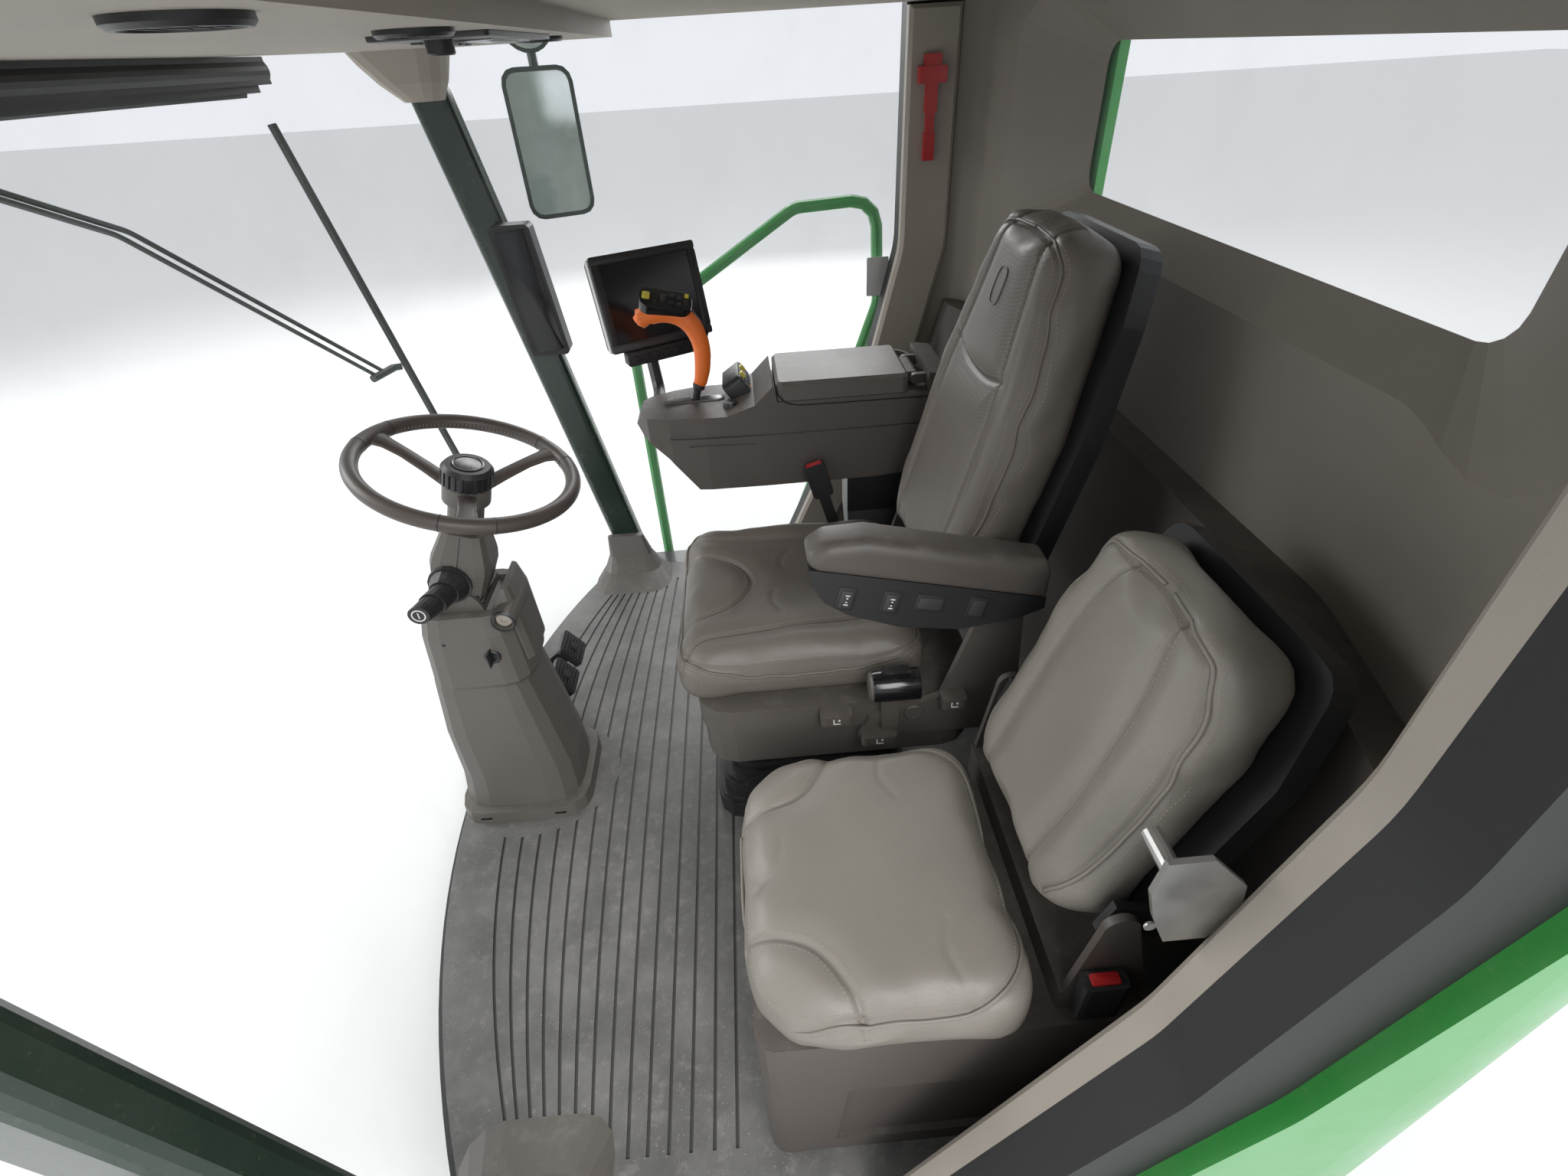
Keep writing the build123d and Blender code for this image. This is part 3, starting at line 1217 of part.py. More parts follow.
# Roller blind across the top of the windscreen
blind_r, blind_w = 22, 1180
blind_x, blind_h = 905, head_h - headliner_t - 30 - blind_r
with BuildPart() as sun_blind:
    with BuildSketch(Plane.XZ.offset(-blind_w / 2)):
        with Locations((blind_x, mat_top + blind_h)):
            RegularPolygon(blind_r, 20)
            Rectangle(2 * blind_r - 10, 2 * blind_r)
    extrude(amount=blind_w, dir=(0, -1, 0))
    with BuildSketch(Plane.XY.offset(mat_top + blind_h - blind_r - 12)):
        with Locations((blind_x, 0)):
            Rectangle(10, blind_w - 60)
    extrude(amount=20)
    add(roof_console.part, mode=Mode.SUBTRACT)
save(sun_blind, "sun_blind")

# Front lamps in the roof's face
lamp_ys = (-760, -380, 380, 760)
lamp_w, lamp_h = 210, 96
with BuildPart() as work_lamps:
    for y in lamp_ys:
        with BuildSketch(Plane.YZ.offset(roof_front - 60)):
            with Locations((y, roof_z + 84)):
                soft_rect(lamp_w, lamp_h, 22, 2)
        extrude(amount=60 + roof_bow * (1 - (y / roof_side) ** 2) + 22)
    add(roof_shell.part, mode=Mode.SUBTRACT)
    with BuildSketch(Plane.XY.offset(roof_z)):
        add(roof_outline(-roof_skin / 2))
    extrude(amount=roof_h, mode=Mode.SUBTRACT)
save(work_lamps, "work_lamps")

# Mirrors on arms from the roof's underside, each with a small round one above the large one
mirror_w, mirror_h, mirror_t, mirror_glass_t = 200, 380, 58, 4
small_r, small_up = 74, 292
mirror_places = (   # X, Y, height above the mat, facing direction, points of the arm down to the housing
    (530, -1325, 1215, (-0.4, 0.9165, 0),
     ((640, -990, 1552), (640, -1400, 1552), (536, -1352, 1552), (536, -1352, 1380))),
    (1050, 1335, 1150, (-0.75, -0.6614, 0),
     ((1010, 900, 1552), (1170, 1190, 1552), (1170, 1440, 1552), (1066, 1352, 1552), (1066, 1352, 1320))),
)
with BuildPart() as mirrors:
    for x, y, height, facing, arm in mirror_places:
        face = Plane(origin=(x, y, mat_top + height), x_dir=(-facing[1], facing[0], 0), z_dir=facing)
        with BuildSketch(face):
            soft_rect(mirror_w, mirror_h, 40)
        extrude(amount=-mirror_t, taper=10)
        with BuildSketch(face.offset(-mirror_glass_t)):
            soft_rect(mirror_w - 24, mirror_h - 24, 30)
        extrude(amount=mirror_glass_t, mode=Mode.SUBTRACT)
        with BuildSketch(face):
            with Locations((0, small_up)):
                RegularPolygon(small_r, 24)
        extrude(amount=-40, taper=14)
        with BuildSketch(face.offset(-mirror_glass_t)):
            with Locations((0, small_up)):
                RegularPolygon(small_r - 10, 24)
        extrude(amount=mirror_glass_t, mode=Mode.SUBTRACT)
        add(tube([(ax, ay, mat_top + ah) for ax, ay, ah in arm], 13, 40))
    with BuildSketch(Plane.XY.offset(roof_z)):
        add(roof_outline(0))
    extrude(amount=roof_h, mode=Mode.SUBTRACT)
save(mirrors, "mirrors")

with BuildPart() as mirror_glass:
    for x, y, height, facing, _ in mirror_places:
        face = Plane(origin=(x, y, mat_top + height), x_dir=(-facing[1], facing[0], 0), z_dir=facing)
        with BuildSketch(face.offset(-mirror_glass_t)):
            soft_rect(mirror_w - 24.4, mirror_h - 24.4, 30)
            with Locations((0, small_up)):
                RegularPolygon(small_r - 10.2, 24)
        extrude(amount=mirror_glass_t - 1)
save(mirror_glass, "mirror_glass")


def on_glass(y, height, off):
    """A point off the windscreen's outer face."""
    return (glass_x(height, y) + off, y, mat_top + height)


# Wipers: a boss at the top of the windscreen, twin arms and two blades
blade_low, blade_high, blade_y = 550, 1340, -612     # the lowered blade on the glass
with BuildPart() as wipers:
    with BuildSketch(Plane(origin=on_glass(200, 1400, -30), x_dir=(0, 1, 0), z_dir=(1, 0, -front_lean))):
        soft_rect(150, 70, 20)
    extrude(amount=68)
    for shift in (-13, 13):
        add(tube([on_glass(170 + shift, 1400, 26), on_glass(-200 + shift, 1220, 30),
                  on_glass(-560 + shift, 834, 30)], 5, 60, 6))
    add(tube([on_glass(-600, 834, 28), on_glass(-530, 834, 28)], 9))
    blades = (
        [on_glass(blade_y - 0.014 * (h - blade_low), h, 8) for h in (blade_low, 815, 1075, blade_high)],
        [on_glass(y, 1395, 8) for y in range(100, -601, -100)],
    )
    for points in blades:
        add(tube(points, 10, 400, 6))
    add(tube([on_glass(-606, 834, 12), on_glass(-600, 834, 34)], 8))
    add(windscreen.part, mode=Mode.SUBTRACT)
save(wipers, "wipers")

# Handrail outside the right glass, on two brackets from the base frame
rail_y, rail_r = -1050, 17
rail_points = ((350, -80), (350, 740), (-160, 1050), (-390, 1060), (-400, 780), (-190, 200), (-80, -80))
rail_foot_z, rail_foot_t = 60, 16
with BuildPart() as side_rail:
    add(tube([(x, rail_y, mat_top + h) for x, h in rail_points], rail_r, 70))
    for x, _ in (rail_points[0], rail_points[-1]):
        foot_l = -rail_y + rail_r - frame_b / 2
        with BuildSketch(Plane.XY.offset(rail_foot_z)):
            with Locations((x, -(frame_b + foot_l) / 2)):
                Rectangle(60, foot_l)
        extrude(amount=rail_foot_t)
save(side_rail, "side_rail")

# Grab rail in front of the right post, bolted through the glass
grab_low, grab_high, grab_y = 470, 1060, -1035
with BuildPart() as grab_rail:
    face_y = -outer_side - glass_t
    ends = [front_post_x(h) for h in (grab_high, grab_low)]
    add(tube([(ends[0], face_y, mat_top + grab_high), (ends[0], grab_y, mat_top + grab_high),
              (ends[1], grab_y, mat_top + grab_low), (ends[1], face_y, mat_top + grab_low)], 11, 26))
    for x, height in zip(ends, (grab_high, grab_low)):
        with BuildSketch(Plane.XZ.offset(-face_y)):
            with Locations((x, mat_top + height)):
                RegularPolygon(23, 16)
        extrude(amount=8, dir=(0, -1, 0))
save(grab_rail, "grab_rail")

# Striker that the door locks on: a plate on the left trim's inner face, with two posts and a roller
striker_x, striker_h = -345, 795
striker_face = outer_side - post_d - trim_t
with BuildPart() as door_striker:
    with BuildSketch(Plane.XZ.offset(-striker_face)):
        with BuildLine():
            Polyline(*[(striker_x + x, mat_top + striker_h + h) for x, h in (
                (34, 64), (-6, 64), (-46, 20), (-56, -34), (-34, -64), (6, -64), (26, -20), (38, 20))], close=True)
        make_face()
    extrude(amount=6, dir=(0, -1, 0))
    for x, h, radius, length in ((22, 42, 9, 40), (-8, -34, 9, 34), (-10, 26, 13, 12)):
        with BuildSketch(Plane.XZ.offset(-striker_face + 6)):
            with Locations((striker_x + x, mat_top + striker_h + h)):
                RegularPolygon(radius, 14)
        extrude(amount=length, dir=(0, -1, 0))
save(door_striker, "door_striker")

# Emergency hammer clipped on the right trim
hammer_x, hammer_face = -487, -(outer_side - post_d - trim_t)
with BuildPart() as hammer:
    for low, height, width, depth in ((1165, 60, 26, 20), (1215, 60, 20, 16), (1265, 70, 28, 20), (1325, 34, 66, 26),
                                      (1352, 30, 40, 20)):
        with BuildSketch(Plane.XY.offset(mat_top + low)):
            with Locations((hammer_x, hammer_face + depth / 2)):
                Rectangle(width, depth)
        extrude(amount=height)
save(hammer, "hammer")

# Corner post display: an upright bar of readouts on the right front post
with BuildPart() as post_display:
    display_y = -(outer_side - post_d)
    with BuildSketch(Plane.XZ.offset(-display_y)):
        with BuildLine():
            Polyline((498, mat_top + 750), (604, mat_top + 750), (640, mat_top + 1085), (534, mat_top + 1085),
                     close=True)
        make_face()
    extrude(amount=52, dir=(0, 1, 0))
    fillet(post_display.edges().filter_by(Axis.Y), 14)
save(post_display, "post_display")
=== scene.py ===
# %% [markdown]
# # The operator's cab of a combine harvester
# This lesson dresses a finished CAD model for a photograph-like render. The CAD model is the frame:
# it is loaded first, nothing in it is moved, and every new piece rides on one of its bodies. Lengths
# are in metres, X points to the windscreen, Y to the open door and Z up.

# %% Load the frame
import math

import bmesh
import bpy
import numpy as np
from mathutils import Matrix, Vector
from mathutils.bvhtree import BVHTree


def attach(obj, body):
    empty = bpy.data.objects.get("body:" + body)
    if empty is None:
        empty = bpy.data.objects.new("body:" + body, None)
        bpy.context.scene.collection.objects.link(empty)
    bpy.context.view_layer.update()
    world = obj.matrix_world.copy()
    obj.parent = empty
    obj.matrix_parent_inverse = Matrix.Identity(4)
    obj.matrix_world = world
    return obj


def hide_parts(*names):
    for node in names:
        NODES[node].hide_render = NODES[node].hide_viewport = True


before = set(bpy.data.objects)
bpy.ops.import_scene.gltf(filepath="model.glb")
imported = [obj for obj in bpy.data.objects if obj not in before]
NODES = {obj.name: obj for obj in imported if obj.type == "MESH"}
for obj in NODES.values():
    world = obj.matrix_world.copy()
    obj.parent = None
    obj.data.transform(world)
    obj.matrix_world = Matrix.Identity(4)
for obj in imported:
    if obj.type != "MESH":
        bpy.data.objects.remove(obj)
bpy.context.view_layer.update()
MAT_TOP = 0.150          # the rubber mat's top, above the underside of the base frame

# %% [markdown]
# ## The camera
# A wide-angle camera stands in the doorway, a little outside the side of the cab, and looks down
# and across. Its place and turn were fitted to the corners of the seat, the steering wheel, the
# floor and the posts. A camera object looks along its own -Z, so the three columns of its matrix
# are the picture's right, the picture's up, and the way back from the scene.

# %% Place the camera
RIGHT = Vector((-0.99645, 0.066415, -0.05174))
UP = Vector((-0.081159, -0.594345, 0.800104))
BACK = Vector((0.022387, 0.801463, 0.597625))
EYE = Vector((0.0, 1.207, MAT_TOP + 1.416))
LENS = 16.7              # millimetres, on a sensor 36 mm wide
camera_data = bpy.data.cameras.new("doorway_camera")
camera_data.sensor_width = 36.0
camera_data.lens = LENS
camera_data.clip_start = 0.02
camera = bpy.data.objects.new("doorway_camera", camera_data)
turn = Matrix((RIGHT, UP, BACK)).transposed().to_4x4()
camera.matrix_world = Matrix.Translation(EYE) @ turn
bpy.context.scene.collection.objects.link(camera)
bpy.context.scene.camera = camera
print("camera lens", camera_data.lens)

# %% [markdown]
# ## Shader maths as plain expressions
# A material is a small graph of nodes. Written link by link it is hard to read, so one class wraps
# a socket and lets Python's own operators add the Math nodes: `1 - dust * 0.4` is then three nodes
# that nobody has to place. Colours need a Mix node, because a Math node would turn them grey, so
# every node that isn't arithmetic comes from one method, `node`.

# %% A wrapped socket and a material's graph


class Wire:
    """A number, or a link, that flows through a material."""

    def __init__(self, graph, socket):
        self.graph, self.socket = graph, socket

    def _math(self, operation, first, second=None):
        values = [first] if second is None else [first, second]
        return self.graph.node("ShaderNodeMath", {"operation": operation}, values)

    def __add__(self, other): return self._math("ADD", self, other)
    def __radd__(self, other): return self._math("ADD", other, self)
    def __sub__(self, other): return self._math("SUBTRACT", self, other)
    def __rsub__(self, other): return self._math("SUBTRACT", other, self)
    def __mul__(self, other): return self._math("MULTIPLY", self, other)
    def __abs__(self): return self._math("ABSOLUTE", self)

    def between(self, low, high):
        """0 at low and under, 1 at high and over, smooth between."""
        return self.graph.node("ShaderNodeMapRange", {"interpolation_type": "SMOOTHSTEP"},
                               {"Value": self, "From Min": low, "From Max": high})


class Graph:
    """The node tree of one material, with its Principled shader."""

    def __init__(self, name):
        self.material = bpy.data.materials.new(name)
        self.material.use_nodes = True
        self.tree = self.material.node_tree
        self.shader = self.tree.nodes["Principled BSDF"]
        self.place = self.node("ShaderNodeTexCoord", output="Object")

    def put(self, socket, value):
        """Sets a socket to a number or colour, or links a wire to it."""
        if isinstance(value, Wire):
            self.tree.links.new(value.socket, socket)
        elif isinstance(value, (tuple, list)) and len(value) == 3 and socket.type == "RGBA":
            socket.default_value = (*value, 1.0)
        else:
            socket.default_value = value

    def node(self, kind, settings=None, values=None, output=0):
        """Any node, with its settings made first and then its sockets filled."""
        made = self.tree.nodes.new(kind)
        for key, value in (settings or {}).items():
            setattr(made, key, value)
        filled = values.items() if isinstance(values, dict) else enumerate(values or [])
        for key, value in filled:
            self.put(made.inputs[key], value)
        return Wire(self, made.outputs[output])

    def set(self, **values):
        """Fills the shader's sockets, written with _ for a space."""
        for key, value in values.items():
            self.put(self.shader.inputs[key.replace("_", " ")], value)
        return self.material

    def mix(self, factor, first, second):
        """A colour between two colours."""
        made = self.tree.nodes.new("ShaderNodeMix")
        made.data_type = "RGBA"
        for index, value in ((0, factor), (6, first), (7, second)):   # 6 and 7 are the colour inputs
            self.put(made.inputs[index], value)
        return Wire(self, made.outputs[2])

    def noise(self, scale, detail=3.0, rough=0.5):
        return self.node("ShaderNodeTexNoise", None, {
            "Vector": self.place, "Scale": scale, "Detail": detail, "Roughness": rough})

    def cells(self, scale, feature="F1"):
        return self.node("ShaderNodeTexVoronoi", {"feature": feature}, {
            "Vector": self.place, "Scale": scale})

    def axis(self, name, source=None):
        return self.node("ShaderNodeSeparateXYZ", None, [source or self.place], output="XYZ".index(name))

    def facing_up(self):
        """1 where the surface faces straight up, 0 on its sides and below."""
        normal = self.node("ShaderNodeNewGeometry", output="Normal")
        return self.axis("Z", normal).between(0.3, 0.95)

    def bump(self, height, distance, strength):
        return self.node("ShaderNodeBump", None, {
            "Height": height, "Distance": distance, "Strength": strength})


print("shader helpers ready")

# %% [markdown]
# ## Moulded plastics
# Nearly everything inside the cab is moulded plastic with a leather-like grain etched into the
# tool. Up close it is a field of small cells, so a Voronoi pattern a millimetre or so across feeds
# a Bump node. A second, much larger noise keeps the colour from being one flat value, and dust
# settles where a surface faces up. One function makes them all, because only colour, grain and
# gloss differ.

# %% Plastics and paints
INDOOR_DUST, ROAD_DUST = (0.42, 0.39, 0.34), (0.36, 0.33, 0.27)


def shaded(colour, share):
    """A colour made darker or lighter."""
    return tuple(min(1.0, c * share) for c in colour)


def moulded(name, colour, rough=0.55, grain=900.0, depth=0.00012, dust=0.12):
    """A grained plastic. grain is in cells a metre, and depth in metres."""
    g = Graph(name)
    patches = g.noise(6.0, 4.0)
    cell = g.cells(grain)
    soiled = g.noise(28.0, 6.0, rough=0.7).between(0.45, 0.75) * g.facing_up() * dust
    base = g.mix(patches, shaded(colour, 0.88), shaded(colour, 1.12))
    return g.set(Base_Color=g.mix(soiled, base, INDOOR_DUST),
                 Roughness=rough + (patches - 0.5) * 0.12 + soiled * 0.2,
                 Normal=g.bump(cell, depth, 0.6))


def painted(name, colour, rough=0.28, dust=0.3):
    """Gloss paint on sheet steel, with a little orange peel and a film of dust."""
    g = Graph(name)
    peel = g.noise(420.0, 2.0)
    film = g.noise(5.0, 5.0, rough=0.65).between(0.35, 0.8) * dust
    speck = g.noise(160.0, 3.0).between(0.62, 0.75) * dust
    base = g.mix(film * 0.35 + speck * 0.4, colour, ROAD_DUST)
    return g.set(Base_Color=base, Roughness=rough + film * 0.5, Coat_Weight=0.25,
                 Normal=g.bump(peel, 0.00008, 0.35))


light_trim = moulded("light_trim", (0.3, 0.268, 0.228), rough=0.62, dust=0.05)
# Painted shade: the rear liner's colour is the light trim's taupe at two thirds of its brightness, the same
# plastic made darker.
liner_taupe_shaded = moulded("liner_taupe_shaded", (0.2, 0.178, 0.152), rough=0.66, dust=0.05)
cover_taupe = moulded("cover_taupe", (0.078, 0.067, 0.059), rough=0.5)
seat_plastic = moulded("seat_plastic", (0.085, 0.075, 0.066), rough=0.5)
column_grey = moulded("column_grey", (0.1, 0.09, 0.08), rough=0.5, grain=1200.0)
dark_plastic = moulded("dark_plastic", (0.018, 0.018, 0.019), rough=0.42, dust=0.1)
gloss_black = moulded("gloss_black", (0.008, 0.008, 0.009), rough=0.16, grain=300.0, depth=0.00002,
                      dust=0.06)
green_paint = painted("green_paint", (0.02, 0.25, 0.035))
black_paint = painted("black_paint", (0.01, 0.0105, 0.011), rough=0.45, dust=0.1)
seal_black = moulded("seal_black", (0.01, 0.01, 0.01), rough=0.62, grain=700.0, depth=0.0001, dust=0.04)
post_green = painted("post_green", (0.012, 0.028, 0.018), rough=0.24, dust=0.15)
red_gloss = moulded("red_gloss", (0.42, 0.018, 0.02), rough=0.25, grain=300.0, depth=0.00003)
orange_grip = moulded("orange_grip", (0.78, 0.16, 0.02), rough=0.45, grain=700.0)
yellow_key = moulded("yellow_key", (0.62, 0.52, 0.06), rough=0.4)
dark_key = moulded("dark_key", (0.035, 0.036, 0.038), rough=0.36, grain=1500.0, depth=0.00004)
light_grey = moulded("light_grey", (0.46, 0.46, 0.45), rough=0.4, grain=1500.0, depth=0.00004)
white_mark = moulded("white_mark", (0.72, 0.72, 0.7), rough=0.5, grain=2500.0, depth=0.00002,
                     dust=0.0)
black_rubber = moulded("black_rubber", (0.012, 0.012, 0.012), rough=0.68, grain=1100.0, depth=0.0002)
print("plastics and paints ready")

# %% [markdown]
# ## Leather, rubber, cloth, metal and glass
# The seats are soft leather: cells two millimetres across with fine creases between them. The mat is
# black rubber gone grey with dust that boots have trodden in. Window glass must let light into the
# cab, and a refracting glass shader would block the lamps, so the panes are mostly see-through by
# their Alpha and keep only a clear reflection.

# %% Leather, rubber, cloth, metal and glass
HOLE_PITCH = 0.009       # twice the way from one row of perforations to the next
HOLES_HALF, HOLES_AHEAD = 0.116, 0.07   # the perforated middle: half its width, and how far forward


def leather(name, colour, rough=0.42, holes=False):
    """Soft grained leather, with a perforated middle where holes is set."""
    g = Graph(name)
    grain = g.cells(620.0, feature="DISTANCE_TO_EDGE").between(0.0, 0.12)
    pores = g.noise(900.0, 3.0)
    patches = g.noise(9.0, 4.0)
    worn = g.noise(3.0, 3.0).between(0.35, 0.75)
    base = g.mix(patches, shaded(colour, 0.88), shaded(colour, 1.1))
    # Painted shade: the creases between the grain's cells are mixed darker.
    base = g.mix((1 - grain) * 0.35, base, shaded(colour, 0.6))
    relief = grain * 0.7 + pores * 0.3
    if holes:
        ahead, across = g.axis("X"), g.axis("Y")
        wave = 2 * math.pi / HOLE_PITCH
        rows = g.node("ShaderNodeMath", {"operation": "SINE"}, [(ahead + g.axis("Z")) * wave])
        files = g.node("ShaderNodeMath", {"operation": "SINE"}, [across * wave])
        middle = ((1 - abs(across).between(HOLES_HALF, HOLES_HALF + 0.004))
                  * (1 - ahead.between(HOLES_AHEAD, HOLES_AHEAD + 0.005)))
        dots = abs(rows * files).between(0.72, 0.85) * middle
        # Painted shade: the perforation holes are mixed darker, standing for the shade inside them.
        base = g.mix(dots * 0.75, base, shaded(colour, 0.3))
        relief = relief - dots * 1.5
    return g.set(Base_Color=base, Roughness=rough - worn * 0.08 + (1 - grain) * 0.15,
                 Normal=g.bump(relief, 0.00022, 0.55))


def mat_rubber():
    """Ribbed rubber with trodden dust, and painted shade darkening the bottoms of its grooves."""
    g = Graph("mat_rubber")
    smear = g.noise(7.0, 6.0, rough=0.6).between(0.3, 0.75)
    scuff = g.noise(45.0, 5.0, rough=0.7).between(0.5, 0.72)
    speck = g.noise(260.0, 2.0).between(0.66, 0.74)
    # Painted shade: a mask that is 1 down in the grooves between the ribs, mixed towards near black.
    painted_groove_shade = 1 - g.axis("Z").between(MAT_TOP - 0.0025, MAT_TOP - 0.0004)
    base = g.mix(smear, (0.085, 0.083, 0.08), (0.15, 0.146, 0.137))
    base = g.mix(scuff * 0.4, base, (0.24, 0.225, 0.2))
    base = g.mix(speck * 0.5, base, (0.45, 0.42, 0.36))
    base = g.mix(painted_groove_shade * 0.85, base, (0.045, 0.043, 0.04))
    return g.set(Base_Color=base, Roughness=0.52 + scuff * 0.2,
                 Normal=g.bump(g.noise(380.0, 3.0), 0.0002, 0.5))


def roof_cloth():
    """Knitted headlining."""
    g = Graph("roof_cloth")
    weave = g.noise(1400.0, 2.0)
    base = g.mix(weave, (0.3, 0.27, 0.235), (0.42, 0.385, 0.335))
    return g.set(Base_Color=base, Roughness=0.9, Normal=g.bump(weave, 0.0002, 0.6))


def pane(name, tint, alpha):
    """Window glass with a faint film of dust."""
    g = Graph(name)
    film = g.noise(4.0, 5.0, rough=0.65).between(0.4, 0.9)
    g.material.surface_render_method = "DITHERED"
    return g.set(Base_Color=tint, Roughness=0.02 + film * 0.05, Alpha=alpha + film * 0.04)


def metal(name, colour, rough=0.35):
    """Plated steel with a brushed, slightly blotchy face."""
    g = Graph(name)
    blotch = g.noise(30.0, 4.0)
    return g.set(Base_Color=g.mix(blotch, shaded(colour, 0.8), colour), Metallic=1.0,
                 Roughness=rough + (blotch - 0.5) * 0.2, Normal=g.bump(g.noise(700.0), 0.0001, 0.3))


seat_leather = leather("seat_leather", (0.215, 0.195, 0.168))
perforated_leather = leather("perforated_leather", (0.135, 0.118, 0.1), holes=True)
rim_leather = leather("rim_leather", (0.075, 0.06, 0.052), rough=0.34)
rubber = mat_rubber()
headlining = roof_cloth()
window_glass = pane("window_glass", (0.55, 0.68, 0.62), 0.07)
lamp_glass = pane("lamp_glass", (0.8, 0.82, 0.84), 0.5)
zinc = metal("zinc", (0.48, 0.475, 0.46), rough=0.4)
mirror_metal = metal("mirror_metal", (0.86, 0.88, 0.89), rough=0.04)
print("leather, rubber, cloth, metal and glass ready")

# %% [markdown]
# ## Dressing the CAD pieces
# A CAD piece whose shape is already right keeps its mesh and only gets a better material. Its mesh
# is never changed, so the material goes into the object's own slots.

# %% Give every CAD piece its material
DRESS = {
    light_trim: "post_trims roof_console",
    liner_taupe_shaded: "rear_liner",
    seal_black: "rear_posts",
    cover_taupe: "shelf_cover buddy_base right_console armrest_pad",
    seat_plastic: "seat_tray seat_brackets seat_controls",
    column_grey: "column_pedestal column_head post_boots console_lid wheel_hub",
    dark_plastic: "back_shell buddy_shell armrest console_arm seat_suspension hub_cap stalk pedals "
                  "monitor post_display sun_blind mirrors wipers drive_lever seat_buckle "
                  "buddy_buckle door_handle",
    green_paint: "quarter_panels roof_shell side_rail",
    black_paint: "base_frame floor_pan rear_wall roof_ring door_frame hinge_arms grab_rail",
    post_green: "front_posts",
    rubber: "floor_mat",
    rim_leather: "steering_wheel",
    seat_leather: "seat_cushion back_cushion buddy_cushion buddy_back",
    headlining: "headliner",
    window_glass: "windscreen right_glass rear_glass door_glass",
    lamp_glass: "work_lamps",
    mirror_metal: "mirror_glass",
    zinc: "door_striker",
    red_gloss: "hammer",
}


def dress(piece, material):
    """Puts one material in every slot of an object, and leaves its mesh alone."""
    if not piece.data.materials:
        piece.data.materials.append(material)
    for piece_slot in piece.material_slots:
        piece_slot.link = "OBJECT"
        piece_slot.material = material


dressed = set()
for material, names in DRESS.items():
    for name in names.split():
        dress(NODES[name], material)
        dressed.add(name)
print("dressed", len(dressed), "left", sorted(set(NODES) - dressed))

# %% [markdown]
# ## A small kit for new pieces
# Every new piece starts as a bmesh that grows by operators. A cube whose edges are bevelled makes a
# moulded plate or key, a profile spun about an axis makes a turned part, and ellipses bridged one to
# the next make a loft. One local frame says where a part sits and which way its face looks, so a
# part that leans needs no arithmetic. `Shape` holds the growing bmesh, and `done` turns it into an
# object that rides on a body.

# %% Frames and shapes


def facing(at, right, up):
    """A matrix whose X, Y and Z run along a face's right, its up and outwards from it."""
    right = Vector(right).normalized()
    out = right.cross(Vector(up)).normalized()
    turn = Matrix((right, out.cross(right), out)).transposed().to_4x4()
    return Matrix.Translation(at) @ turn


def left_face(*at):
    """A frame on an upright face that looks out of the cab's left side."""
    return facing(at, (-1, 0, 0), (0, 0, 1))


def top_face(*at):
    """A frame on a level face that looks up."""
    return facing(at, (1, 0, 0), (0, 1, 0))


def under_face(*at):
    """A frame on a level face that looks down, with the cab's front at its bottom."""
    return facing(at, (0, -1, 0), (-1, 0, 0))


